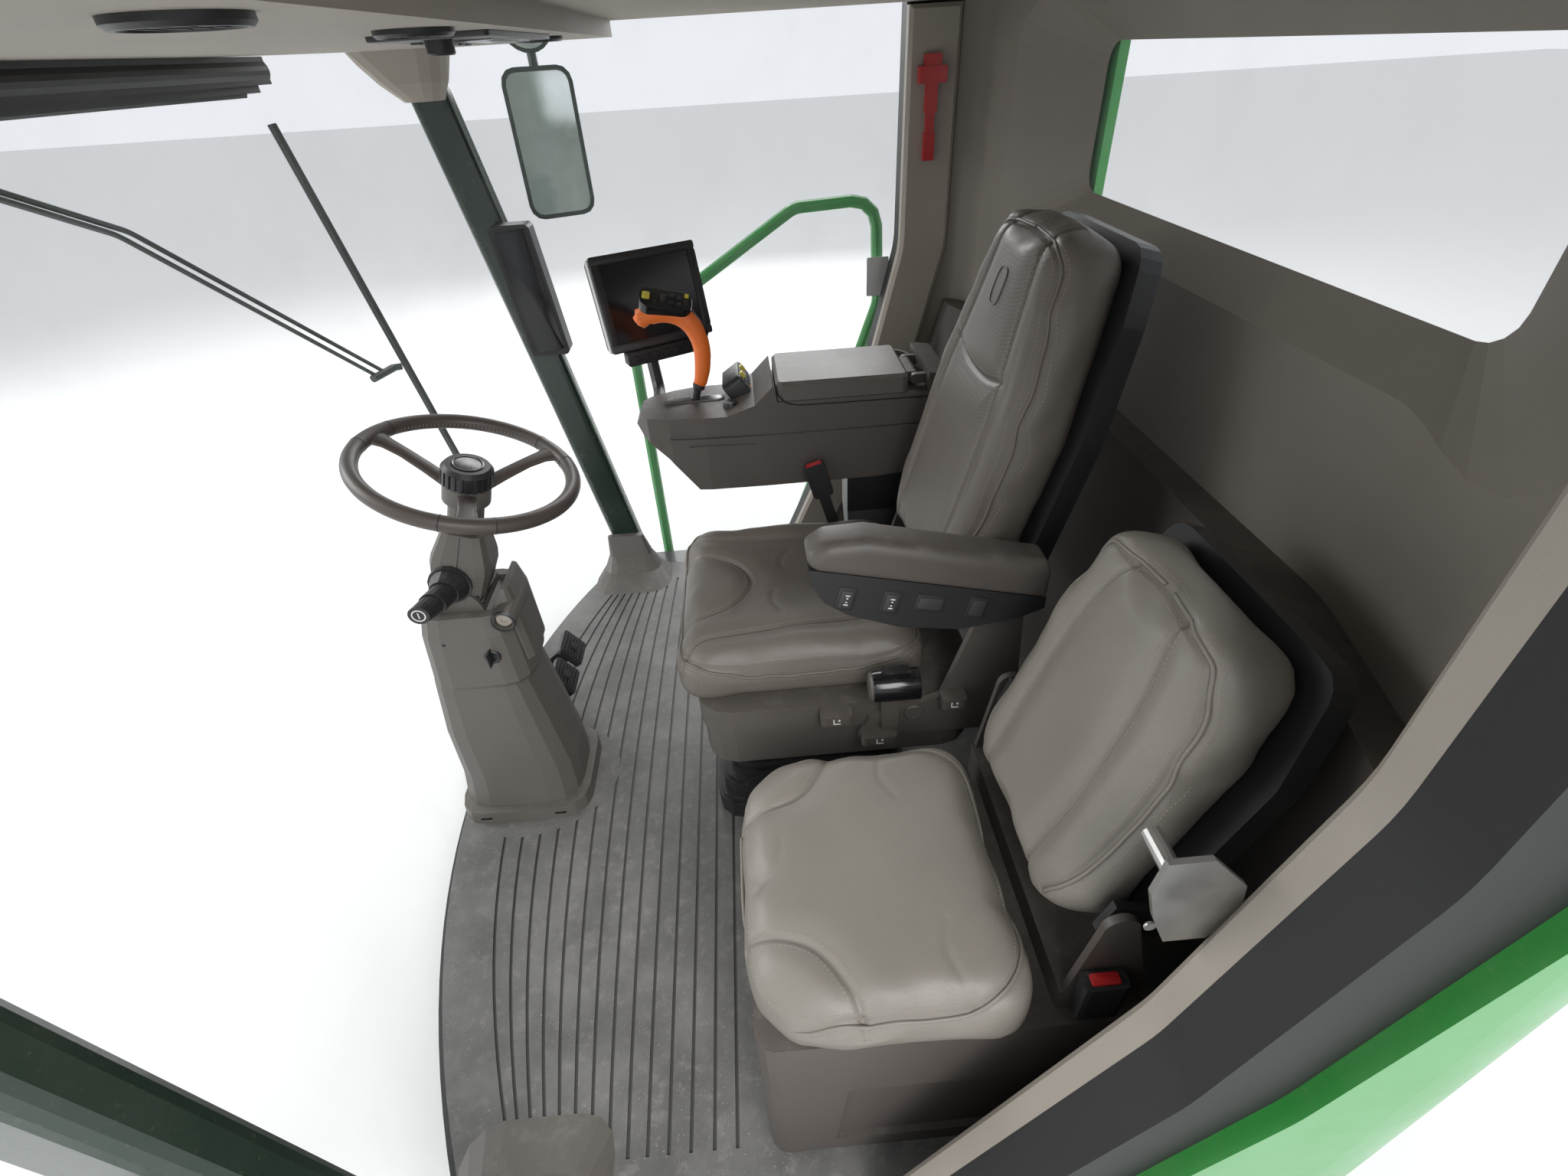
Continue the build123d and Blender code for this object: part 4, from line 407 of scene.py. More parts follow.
class Shape:
    """A bmesh that grows part by part and ends as one piece."""

    def __init__(self):
        self.b = bmesh.new()

    def block(self, frame_at, width, height, thick, corner=0.003, edge=0.0008, shift=(0, 0),
              sink=0.0012):
        """A plate with round corners that stands proud of a face and is sunk a little into it."""
        place = frame_at @ Matrix.Translation((shift[0], shift[1], (thick - sink) / 2))
        size = Matrix.Diagonal((width, height, thick + sink, 1))
        made = bmesh.ops.create_cube(self.b, size=1.0, matrix=place @ size)["verts"]
        out = (frame_at.to_3x3() @ Vector((0, 0, 1))).normalized()
        edges = {e for v in made for e in v.link_edges}
        upright = [e for e in edges
                   if abs((e.verts[0].co - e.verts[1].co).normalized().dot(out)) > 0.9]
        curved_corners = bmesh.ops.bevel(self.b, geom=upright, offset=corner, affect="EDGES",
                                         segments=4, profile=0.5, material=-1)
        middle = place.translation
        top = [e for e in {e for f in curved_corners["faces"] for v in f.verts for e in v.link_edges}
               if all((v.co - middle).dot(out) > thick * 0.3 for v in e.verts)]
        if edge:
            bmesh.ops.bevel(self.b, geom=top, offset=edge, affect="EDGES", segments=2,
                            profile=0.5, material=-1)
        return self

    def turned(self, frame_at, profile, sides=32, shift=(0, 0), closed=True):
        """A turned part: a profile of radius and height, spun about the frame's Z. A closed one is
        filled to its axis at both ends, and an open one is a ring."""
        place = frame_at @ Matrix.Translation((shift[0], shift[1], 0))
        line = [(0, profile[0][1]), *profile, (0, profile[-1][1])] if closed else [*profile, profile[0]]
        verts = [self.b.verts.new(place @ Vector((radius, 0, height))) for radius, height in line]
        edges = [self.b.edges.new(pair) for pair in zip(verts, verts[1:])]
        bmesh.ops.spin(self.b, geom=verts + edges, cent=place.translation,
                       axis=place.to_3x3() @ Vector((0, 0, 1)), angle=2 * math.pi, steps=sides,
                       use_merge=True)
        return self

    def loft(self, stations, sides, caps=False):
        """A body through ellipses. A station is the ellipse's frame, its width and its depth."""
        rings = []
        for i, (frame_at, width, depth) in enumerate(stations):
            size = Matrix.Diagonal((width / 2, depth / 2, 1, 1))
            verts = bmesh.ops.create_circle(self.b, segments=sides, radius=1.0, matrix=frame_at @ size,
                                            cap_ends=caps and i in (0, len(stations) - 1))["verts"]
            edges = {e for v in verts for e in v.link_edges}
            rings.append([e for e in edges if all(v in verts for v in e.verts)])
        for low, high in zip(rings, rings[1:]):
            bmesh.ops.bridge_loops(self.b, edges=low + high)
        return self

    def bar(self, points, radius, sides=3, smooth=True, closed=False):
        """A round bar or bead along points."""
        curve = bpy.data.curves.new("bar", "CURVE")
        curve.dimensions = "3D"
        curve.bevel_depth = radius
        curve.bevel_resolution = sides
        curve.use_fill_caps = not closed
        line = curve.splines.new("NURBS" if smooth and len(points) > 2 else "POLY")
        line.points.add(len(points) - 1)
        for point, at in zip(line.points, points):
            point.co = (*at, 1.0)
        if line.type == "NURBS":
            line.order_u = 3
            line.use_endpoint_u = not closed
            line.resolution_u = 4
        line.use_cyclic_u = closed
        holder = bpy.data.objects.new("bar", curve)
        mesh = bpy.data.meshes.new_from_object(holder)
        self.b.from_mesh(mesh)
        bpy.data.objects.remove(holder)
        bpy.data.curves.remove(curve)
        bpy.data.meshes.remove(mesh)
        return self

    def done(self, name, body, material, sharp=35.0, soft=False):
        """Closes the shape into an object that rides on a body."""
        bmesh.ops.remove_doubles(self.b, verts=self.b.verts, dist=0.00001)
        bmesh.ops.recalc_face_normals(self.b, faces=self.b.faces)
        limit = math.radians(sharp)
        for e in self.b.edges:
            e.smooth = soft or (len(e.link_faces) == 2 and e.calc_face_angle(0.0) < limit)
        for f in self.b.faces:
            f.smooth = True
        mesh = bpy.data.meshes.new(name)
        self.b.to_mesh(mesh)
        self.b.free()
        made = bpy.data.objects.new(name, mesh)
        bpy.context.scene.collection.objects.link(made)
        mesh.materials.append(material)
        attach(made, body)
        return made


def rounded(node, name, body, material, radius):
    """A CAD piece with its edges rounded over, in place of the plain one."""
    shape = Shape()
    shape.b.from_mesh(NODES[node].data)
    bmesh.ops.remove_doubles(shape.b, verts=shape.b.verts, dist=0.0001)
    bmesh.ops.dissolve_limit(shape.b, angle_limit=math.radians(2), verts=shape.b.verts[:],
                             edges=shape.b.edges[:])
    crisp = [e for e in shape.b.edges
             if len(e.link_faces) == 2 and e.calc_face_angle(0.0) > math.radians(20)]
    bmesh.ops.bevel(shape.b, geom=crisp, offset=radius, affect="EDGES", segments=4, profile=0.5,
                    material=-1, clamp_overlap=True)
    made = shape.done(name, body, material, sharp=50)
    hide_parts(node)
    return made


print("kit ready")

# %% [markdown]
# ## Leather cushions
# A seat cushion is foam under a tight leather cover. The foam pushes the cover out between the
# seams, so its sides bulge and its corners pull in. The way here: take the CAD cushion a little
# smaller, remesh it into even squares, let Blender's cloth inflate it for a few frames, stop each
# point from moving too far, and smooth what is left. The seams come after, because remeshing would
# wipe them out: every point near a seam line is pressed in, and then piping and stitches are laid
# on top, each point dropped on the cover by a ray.

# %% Inflate a CAD cushion
VOXEL = 0.0065           # the even mesh's squares
SHRINK = 0.007           # how much smaller the cover starts than the CAD cushion
PRESSURE, SWELL_FRAMES = 3.0, 20


def smoothed(piece, times):
    """Evens a mesh out, a given number of times over."""
    smoother = piece.modifiers.new("smooth", "SMOOTH")
    smoother.factor, smoother.iterations = 0.5, times
    bake(piece)


def swollen(node, cap):
    """The CAD cushion as an even mesh, inflated like a padded cover by cap at most."""
    b = bmesh.new()
    b.from_mesh(NODES[node].data)
    bmesh.ops.remove_doubles(b, verts=b.verts, dist=0.0001)
    bmesh.ops.recalc_face_normals(b, faces=b.faces)
    for v in b.verts:
        v.co -= v.normal * SHRINK
    mesh = bpy.data.meshes.new(node + "_soft")
    b.to_mesh(mesh)
    b.free()
    pad = bpy.data.objects.new(node + "_soft", mesh)
    bpy.context.scene.collection.objects.link(pad)
    bpy.context.view_layer.objects.active = pad
    remesh = pad.modifiers.new("even", "REMESH")
    remesh.mode = "VOXEL"
    remesh.voxel_size = VOXEL
    bake(pad)
    smoothed(pad, 12)
    start = points_of(pad.data)
    cloth = pad.modifiers.new("swell", "CLOTH")
    cloth.settings.use_pressure = True
    cloth.settings.uniform_pressure_force = PRESSURE
    cloth.settings.effector_weights.gravity = 0.0
    for step in range(1, SWELL_FRAMES + 1):
        bpy.context.scene.frame_set(step)
    bake(pad)
    bpy.context.scene.frame_set(1)
    moved = points_of(pad.data) - start
    length = np.linalg.norm(moved, axis=1, keepdims=True)
    moved *= np.minimum(1.0, cap / np.maximum(length, 1e-9))
    put_points(pad.data, start + moved)
    print(node, "swelled by up to", round(float(length.max()) * 1000, 1), "mm")
    smoothed(pad, 30)
    finer = pad.modifiers.new("finer", "SUBSURF")
    finer.levels = finer.render_levels = 1
    bake(pad)
    return pad


def bake(piece):
    """Applies a piece's modifiers to its mesh."""
    shown = piece.evaluated_get(bpy.context.evaluated_depsgraph_get())
    mesh = bpy.data.meshes.new_from_object(shown)
    old = piece.data
    piece.modifiers.clear()
    piece.data = mesh
    bpy.data.meshes.remove(old)


def points_of(mesh, what="co"):
    """The points of a mesh as rows of an array, or their normals where what says so."""
    flat = np.empty(len(mesh.vertices) * 3, dtype=np.float32)
    mesh.vertices.foreach_get(what, flat)
    return flat.reshape(-1, 3).astype(float)


def put_points(mesh, points):
    mesh.vertices.foreach_set("co", points.astype(np.float32).ravel())
    mesh.update()


def mirrored(line):
    return [(-x, y) for x, y in line]


def away(flat, line):
    """How far each point of the plane is from a bent line."""
    best = np.full(len(flat), 1e9)
    for a, c in zip(line, line[1:]):
        a, c = np.array(a, float), np.array(c, float)
        along = c - a
        share = np.clip(((flat - a) @ along) / (along @ along), 0, 1)
        best = np.minimum(best, np.linalg.norm(flat - (a + share[:, None] * along), axis=1))
    return best


def curved(points, steps=8):
    """A smooth line through points in a plane, as short runs."""
    points = [Vector((*p, 0)) for p in points]
    padded = [points[0] * 2 - points[1], *points, points[-1] * 2 - points[-2]]
    line = []
    for i in range(1, len(padded) - 2):
        p0, p1, p2, p3 = padded[i - 1:i + 3]
        for k in range(steps):
            t = k / steps
            at = 0.5 * ((2 * p1) + (p2 - p0) * t + (2 * p0 - 5 * p1 + 4 * p2 - p3) * t * t
                        + (3 * p1 - 3 * p2 + p3 - p0) * t ** 3)
            line.append((at.x, at.y))
    return [*line, (points[-1].x, points[-1].y)]


class Cover:
    """A padded piece seen square on: a plane to draw its seams on, and the mesh under them."""

    def __init__(self, pad, origin, right, up):
        self.pad = pad
        self.axes = facing(origin, right, up)
        self.inverse = np.array(self.axes.inverted())

    def flat(self, points):
        """Points in the plane's own frame: right, up and out."""
        return points @ self.inverse[:3, :3].T + self.inverse[:3, 3]

    def sunk(self, pull_at, fade):
        """Moves each point inwards by pull_at of its place, less where the cover turns away."""
        points, normals = points_of(self.pad.data), points_of(self.pad.data, "normal")
        outward = np.clip(normals @ np.array(self.axes.to_3x3().col[2]), 0, 1)
        pull = pull_at(self.flat(points)[:, :2]) * outward ** fade
        put_points(self.pad.data, points - normals * pull[:, None])

    def press(self, lines, depth, width, sag, reach):
        """Pulls the cover in along seams, with a soft dip beside them."""
        def pull_at(flat):
            near = np.min([away(flat, line) for line in lines], axis=0)
            return depth * np.exp(-(near / width) ** 2) + sag * np.exp(-(near / reach) ** 2)
        self.sunk(pull_at, 0.5)

    def dent(self, spots):
        """Broad soft hollows and swells, as (right, up, radius, depth)."""
        def pull_at(flat):
            return sum(depth * np.exp(-(np.hypot(flat[:, 0] - x, flat[:, 1] - y) / radius) ** 2)
                       for x, y, radius, depth in spots)
        self.sunk(pull_at, 1)

    def wrinkle(self, folds):
        """Short shallow creases, each through a few points in the plane."""
        self.press([curved(fold) for fold in folds], depth=0.0014, width=0.006, sag=0.0, reach=0.01)

    def land(self, line, lift):
        """Points of a drawn line dropped on the cover, and lifted a little off it."""
        tree = BVHTree.FromPolygons([v.co for v in self.pad.data.vertices],
                                    [tuple(p.vertices) for p in self.pad.data.polygons])
        out = (self.axes.to_3x3() @ Vector((0, 0, 1))).normalized()
        landed = []
        for x, y in line:
            start = self.axes @ Vector((x, y, 0.4))
            hit, normal, _, _ = tree.ray_cast(start, -out, 0.8)
            if hit is not None:
                landed.append(hit + normal * lift)
        return landed


def evenly(line, step):
    """The same line as points a fixed step apart."""
    out, carry = [line[0]], 0.0
    for a, c in zip(line, line[1:]):
        length = math.dist(a, c)
        at = step - carry
        while at <= length:
            share = at / length
            out.append(tuple(p + (q - p) * share for p, q in zip(a, c)))
            at += step
        carry = length - (at - step)
    return out


def shifted(line, by):
    """A line moved sideways in its plane."""
    out = []
    for i, (x, y) in enumerate(line):
        a, c = line[max(i - 1, 0)], line[min(i + 1, len(line) - 1)]
        length = math.dist(a, c) or 1.0
        out.append((x - (c[1] - a[1]) / length * by, y + (c[0] - a[0]) / length * by))
    return out


STITCH_PITCH, STITCH_LONG, THREAD_R = 0.0065, 0.0042, 0.00055


def sew(cover, lines, shape):
    """Stitches along drawn lines, laid on the cover."""
    for line in lines:
        landed = cover.land(evenly(line, STITCH_PITCH), 0.0002)
        for a, c in zip(landed, landed[1:]):
            along = c - a
            if not 0.002 < along.length < 0.02:
                continue
            along.normalize()
            side = along.orthogonal().normalized()
            turn = Matrix((along, side, along.cross(side))).transposed().to_4x4()
            size = Matrix.Diagonal((STITCH_LONG / 2, THREAD_R, THREAD_R, 1))
            bmesh.ops.create_icosphere(shape.b, subdivisions=1, radius=1.0,
                                       matrix=Matrix.Translation((a + c) / 2) @ turn @ size)


def outline_of(half_long, half_wide, corner, steps=7):
    """A rectangle with round corners, as a closed line."""
    line = []
    for cx, cy, first in ((1, 1, 0), (-1, 1, 90), (-1, -1, 180), (1, -1, 270)):
        for k in range(steps + 1):
            a = math.radians(first + 90 * k / steps)
            line.append((cx * (half_long - corner) + corner * math.cos(a),
                         cy * (half_wide - corner) + corner * math.sin(a)))
    return [*line, line[0]]


thread = moulded("thread", (0.3, 0.27, 0.235), rough=0.7, grain=3000.0)
print("cushion kit ready")

# %% [markdown]
# ## The operator's seat
# The cushion has a perforated middle between two side bolsters, a rounded front panel, and a seam
# with piping round its edge. The backrest has the same layout standing up, narrower at the top. Each
# seam is pressed into the inflated cover first, then a bead of piping and two rows of stitches
# follow it. The perforations are far too many to model, so they are dots in the leather's material.

# %% The operator's cushion
# How a seam is pressed in: its depth and width, then the sag beside it and how far that reaches
SEAT_RIM_PRESS, RIM_PRESS = (0.003, 0.004, 0.003, 0.014), (0.003, 0.004, 0.002, 0.012)
SEAM_PRESS, BUDDY_PRESS = (0.0055, 0.004, 0.006, 0.024), (0.005, 0.004, 0.006, 0.022)
seat_cover = Cover(swollen("seat_cushion", cap=0.013), (-0.052, 0, 0.69), (0, -1, 0), (1, 0, 0))
edge_seam = [(y, x) for x, y in outline_of(0.226, 0.232, 0.066)]
bolster_in = curved([(0.138, -0.23), (0.145, -0.1), (0.152, 0.0), (0.164, 0.13), (0.174, 0.185),
                     (0.205, 0.225)])
bolsters = [bolster_in, mirrored(bolster_in)]
front_panel = curved([(-0.115, 0.235), (-0.1, 0.17), (-0.065, 0.115), (0, 0.085), (0.065, 0.115),
                      (0.1, 0.17), (0.115, 0.235)])
seat_cover.press([edge_seam], *SEAT_RIM_PRESS)
seat_cover.press([*bolsters, front_panel], *SEAM_PRESS)
seat_cover.dent([(0, -0.06, 0.1, 0.007), (-0.055, 0.0, 0.05, 0.003), (0.06, 0.02, 0.045, 0.003),
                 (0, 0.13, 0.05, -0.004), (0.19, 0.0, 0.05, -0.006), (-0.19, 0.0, 0.05, -0.006)])
seat_cover.wrinkle([[(-0.11, 0.03), (-0.07, 0.045), (-0.04, 0.04)],
                    [(0.1, 0.0), (0.07, 0.02), (0.045, 0.018)],
                    [(-0.1, -0.12), (-0.06, -0.1), (-0.03, -0.105)],
                    [(0.11, -0.09), (0.08, -0.07), (0.05, -0.075)]])
print("seat seams", 3 + len(bolsters))

# %% The operator's backrest


def leaning(angle):
    """The ways out of and up along a face that leans back by an angle."""
    lean = math.radians(angle)
    return Vector((math.cos(lean), 0, math.sin(lean))), Vector((-math.sin(lean), 0, math.cos(lean)))


back_out, back_up = leaning(15)
back_face = Vector((-0.411, 0, 0.632)) + back_out * 0.146
back_cover = Cover(swollen("back_cushion", cap=0.014), back_face, (0, 1, 0), back_up)
back_side = curved([(0.125, 0.03), (0.135, 0.2), (0.13, 0.4), (0.1, 0.56), (0.075, 0.72)])
back_sides = [back_side, mirrored(back_side)]
back_cross = [curved([(-0.128, 0.47), (-0.05, 0.452), (0.05, 0.452), (0.128, 0.47)])]
back_rim = curved([(0.168, 0.07), (0.196, 0.17), (0.192, 0.42), (0.152, 0.59), (0.118, 0.665), (0, 0.678)])
back_rims = [back_rim, mirrored(back_rim)]
back_cover.press(back_rims, *RIM_PRESS)
back_cover.press([*back_sides, *back_cross], *SEAM_PRESS)
back_cover.dent([(0, 0.2, 0.09, 0.006), (0, 0.34, 0.08, -0.005), (0, 0.57, 0.06, -0.004)])
back_cover.wrinkle([[(-0.12, 0.1), (-0.08, 0.115), (-0.05, 0.11)],
                    [(0.12, 0.13), (0.08, 0.14), (0.05, 0.13)]])
print("backrest seams", len(back_sides + back_cross + back_rims))

# %% The instructor's cushion and back
buddy_cover = Cover(swollen("buddy_cushion", cap=0.014), (-0.11, 0.614, 0.63), (0, -1, 0), (1, 0, 0))
corner_seam = curved([(-0.226, 0.03), (-0.17, 0.05), (-0.115, 0.095), (-0.09, 0.19)])
buddy_lines = [corner_seam, mirrored(corner_seam)]
buddy_rim = [(y, x) for x, y in outline_of(0.182, 0.206, 0.095)]
buddy_cover.press([buddy_rim], *RIM_PRESS)
buddy_cover.press(buddy_lines, *BUDDY_PRESS)
buddy_cover.dent([(0, -0.02, 0.12, 0.006), (0.05, 0.1, 0.05, -0.004), (-0.06, 0.09, 0.05, -0.003)])
buddy_cover.wrinkle([[(-0.2, -0.1), (-0.14, -0.08), (-0.1, -0.09)],
                     [(0.19, -0.05), (0.14, -0.04), (0.1, -0.06)],
                     [(-0.03, 0.16), (0.0, 0.13), (0.04, 0.12)]])

fold_out, fold_up = leaning(18)
fold_face = Vector((-0.38, 0.582, 0.718)) + fold_out * 0.056
fold_cover = Cover(swollen("buddy_back", cap=0.014), fold_face, (0, 1, 0), fold_up)
fold_rim = curved([(0.13, -0.055), (0.152, 0.02), (0.152, 0.22), (0.128, 0.31), (0.1, 0.335), (0, 0.342)])
fold_rims = [fold_rim, mirrored(fold_rim)]
fold_middle = curved([(0.085, -0.07), (0.09, 0.1), (0.08, 0.25), (0.055, 0.34)])
fold_lines = [fold_middle, mirrored(fold_middle)]
fold_cover.press(fold_rims, *RIM_PRESS)
fold_cover.press(fold_lines, *BUDDY_PRESS)
fold_cover.dent([(0, 0.08, 0.08, 0.006), (0, 0.25, 0.06, -0.003)])
print("instructor's seams", len([buddy_rim, *buddy_lines, *fold_rims, *fold_lines]))

# %% Piping, stitches and leather
STITCH_GAP = 0.0085      # from a seam to the row of stitches on each side of it
COVERS = (   # cover, CAD node, body, name, piped lines, other seams
    (seat_cover, "seat_cushion", "seat", "seat_leather_cushion", [edge_seam], [*bolsters, front_panel]),
    (back_cover, "back_cushion", "backrest", "backrest_leather_cushion", back_rims,
     [*back_sides, *back_cross]),
    (buddy_cover, "buddy_cushion", "cab", "instructor_leather_cushion", [buddy_rim], buddy_lines),
    (fold_cover, "buddy_back", "folding_back", "instructor_leather_back", fold_rims, fold_lines),
)
for cover, node, body, name, piped, stitched in COVERS:
    pad = cover.pad
    pad.name = name
    for face in pad.data.polygons:
        face.use_smooth = True
    pad.data.materials.clear()
    pad.data.materials.append(perforated_leather if body in ("seat", "backrest") else seat_leather)
    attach(pad, body)
    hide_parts(node)
    beads = Shape()
    for line in piped:
        landed = cover.land(evenly(line, 0.012), 0.0008)
        if len(landed) > 3:
            beads.bar(landed, 0.0026, sides=2)
    beads.done(name + "_piping", body, pad.data.materials[0], soft=True)
    seams = Shape()
    rows = [shifted(line, by) for line in (*piped, *stitched) for by in (-STITCH_GAP, STITCH_GAP)]
    sew(cover, rows, seams)
    seams.done(name + "_stitches", body, thread)
    print(name, len(pad.data.polygons), "faces")

lozenge = Shape()
lozenge_line = [(x * 0.7, y * 1.1 + 0.585) for x, y in outline_of(0.028, 0.026, 0.016)]
lozenge.bar(back_cover.land(evenly(lozenge_line, 0.006), 0.0004)[:-1], 0.0011, sides=1, closed=True)
lozenge.done("backrest_lozenge", "backrest", dark_plastic, soft=True)

# %% [markdown]
# ## The steering column and wheel
# The rim is round bar covered in leather, so it is one circle spun about the wheel's axis. The
# spokes are lofts that widen into the rim. The smaller things on the column, such as a ring, a plug,
# an escutcheon and a bellows, are turned parts, plates and bars that sit on the CAD faces.

# %% The wheel
column_fore, column_out = leaning(18.6)
SIDE = Vector((0, 1, 0))
wheel_middle = Vector((0.518, 0, 0.988))
head_pivot = Vector((0.611557, 0, 0.71))
wheel_face = facing(wheel_middle, column_fore, SIDE)
WHEEL_R, RIM_R = 0.183, 0.0138
SPOKES = (-15, 105, -135)               # degrees round the wheel from its front
JOINT_SWING, BARE_SWING = 13, 15        # degrees from a spoke to a joint ring, and to the first stitch
RIM_STITCHES = 150
SPOKE = (   # share of the way from hub to rim, width, thickness, rise out of the straight line
    (0, 0.034, 0.016, 0), (0.3, 0.031, 0.014, 0.004), (0.6, 0.029, 0.013, 0.006),
    (0.82, 0.033, 0.014, 0.004), (0.94, 0.046, 0.016, 0.001), (1, 0.062, 0.018, 0),
)


def on_wheel(angle, radius):
    """The point of the wheel's plane at an angle, and the way out to it from the middle."""
    turn = math.radians(angle)
    ray = Vector((math.cos(turn), math.sin(turn), 0))
    return wheel_face @ (ray * radius), wheel_face.to_3x3() @ ray


rim = Shape()
upright = Matrix.Translation((WHEEL_R, 0, 0)) @ Matrix.Rotation(math.pi / 2, 4, "X")
start = bmesh.ops.create_circle(rim.b, segments=20, radius=RIM_R, matrix=wheel_face @ upright)
bmesh.ops.spin(rim.b, geom=start["verts"] + rim.b.edges[:], cent=wheel_middle, axis=column_out,
               angle=2 * math.pi, steps=112, use_merge=True)
for angle in SPOKES:
    foot = on_wheel(angle, 0.03)[0] - column_out * 0.042
    tip, along = on_wheel(angle, WHEEL_R - 0.003)
    across = column_out.cross(along)
    way = (tip - foot).normalized()
    turned = Matrix((across, way.cross(across), way)).transposed().to_4x4()
    rim.loft([(Matrix.Translation(foot + (tip - foot) * share + column_out * rise) @ turned, width, thick)
              for share, width, thick, rise in SPOKE], sides=20)
wheel = rim.done("leather_wheel", "wheel", rim_leather, sharp=60)
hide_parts("steering_wheel")

joints = Shape()
for angle in SPOKES:
    for by in (-JOINT_SWING, JOINT_SWING):
        at, radial = on_wheel(angle + by, WHEEL_R)
        joints.turned(facing(at, radial, column_out), ((RIM_R, -0.0012), (RIM_R + 0.0007, -0.0006),
                                                       (RIM_R + 0.0007, 0.0006), (RIM_R, 0.0012)),
                      sides=24, closed=False)
joints.done("rim_joint_rings", "wheel", dark_plastic)
rim_thread = Shape()
for k in range(RIM_STITCHES):
    angle = 360 * k / RIM_STITCHES
    if any(abs((angle - a + 180) % 360 - 180) < BARE_SWING for a in SPOKES):
        continue
    at, radial = on_wheel(angle, WHEEL_R - RIM_R)
    bmesh.ops.create_icosphere(rim_thread.b, subdivisions=1, radius=1.0, matrix=facing(
        at, column_out, radial) @ Matrix.Diagonal((0.0032, 0.0006, 0.0006, 1)))
rim_thread.done("rim_stitches", "wheel", thread)

cap_face = facing(wheel_middle + column_out * 0.01, column_fore, SIDE)
Shape().turned(cap_face, (
    (0.028, -0.001), (0.028, 0.0008), (0.0265, 0.0016), (0.0245, 0.0016), (0.023, 0.0006), (0.012, 0.001),
    (0.002, 0.0011)), sides=40).done("cap_ring", "wheel", gloss_black)
print("wheel ready")

# %% The column's small parts
PLUG_X, PLUG_Z = 0.512, 0.706           # the blanking plug in the pedestal's left side
Shape().turned(left_face(PLUG_X, 0.09, PLUG_Z), (
    (0.0235, -0.002), (0.0235, 0.0018), (0.022, 0.003), (0.0195, 0.003), (0.0185, -0.012)),
    sides=36, closed=False).done("switch_ring", "cab", dark_plastic)
Shape().turned(left_face(PLUG_X, 0.072, PLUG_Z), (
    (0.0165, -0.002), (0.0165, 0.008), (0.0145, 0.0115), (0.006, 0.012), (0.0055, 0.0095),
    (0.001, 0.0095))).done("switch_plug", "cab", light_trim)
key_face = left_face(0.556, 0.0905, 0.622)
key = Shape().turned(key_face, ((0.0165, -0.003), (0.0165, 0.002), (0.0145, 0.0036), (0.009, 0.0036),
                                (0.0085, 0.001)), sides=32)
key.block(key_face, 0.0035, 0.03, 0.026, corner=0.0012, shift=(0, 0.006))
key.done("lever_and_escutcheon", "cab", dark_plastic)
slots = Shape()
foot_face = left_face(0.606, 0.1295, 0.167)
for x in (-0.085, 0.085):
    slots.block(foot_face, 0.026, 0.0055, 0.0006, corner=0.002, edge=0, shift=(x, 0))
slots.turned(left_face(0.64, 0.0895, 0.66), ((0.0042, -0.002), (0.0042, 0.0008), (0.001, 0.0009)),
             sides=16)
slots.done("column_slots", "cab", gloss_black)
BELLOWS_R, BELLOWS_HALF = 0.059, 0.05   # a fold's distance from the pivot, and half its length
bellows = Shape()
for angle in range(98, 170, 8):
    at = head_pivot + leaning(angle)[0] * BELLOWS_R
    bellows.bar([at - SIDE * BELLOWS_HALF, at + SIDE * BELLOWS_HALF], 0.0042, sides=2)
bellows.done("column_bellows", "column_top", dark_plastic, soft=True)
tip_face = left_face(*(head_pivot + column_fore * 0.034 + SIDE * 0.16 + column_out * 0.072))
tip_mark = Shape().turned(tip_face, ((0.0125, -0.0005), (0.0125, 0.0006), (0.0105, 0.0006),
                                     (0.0105, -0.0005)), sides=28, closed=False)
tip_mark.block(tip_face, 0.0018, 0.013, 0.0006, corner=0.0006, edge=0)
tip_mark.done("stalk_tip_mark", "column_top", white_mark)
HEAD_HALF = 0.0535       # half the head's width, which each height below has a share of
HEAD_SHARES = ((0.04, 0.985), (0.096, 1.03), (0.114, 1.0), (0.17, 0.735))
seams = Shape()
for y in (HEAD_HALF, -HEAD_HALF):
    seams.bar([head_pivot + column_out * height + SIDE * y * share for height, share in HEAD_SHARES],
              0.0008, sides=1, smooth=False)
seams.done("head_parting_lines", "column_top", gloss_black)

PEDAL_OUT, PEDAL_UP = Vector((-0.8, 0, 0.6)), (0.6, 0, 0.8)
PEDAL_THICK, RIB_PITCH = 0.014, 0.0096
pads = Shape()
for y in (-0.195, -0.305):
    pad_face = facing(Vector((0.545, y, 0.29)) + PEDAL_OUT * PEDAL_THICK, (0, -1, 0), PEDAL_UP)
    for k in range(7):
        pads.block(pad_face, 0.078, 0.0055, 0.0035, corner=0.001, shift=(0, -0.029 + k * RIB_PITCH))
    pads.turned(pad_face, ((0.012, 0.0), (0.012, 0.0045), (0.0105, 0.0052), (0.002, 0.0052)), sides=28)
pads.done("pedal_rubbers", "cab", black_rubber)
print("column parts ready")

# %% [markdown]
# ## The drive lever, its console and the monitor
# The lever is the brightest thing in the cab: an orange grip with a black face that holds the
# driver's buttons. The grip's side view is drawn once as a chain of stations, each with its own
# width and depth, and lofted into one smooth body. Keys and bezels are bevelled plates on the
# console's faces.

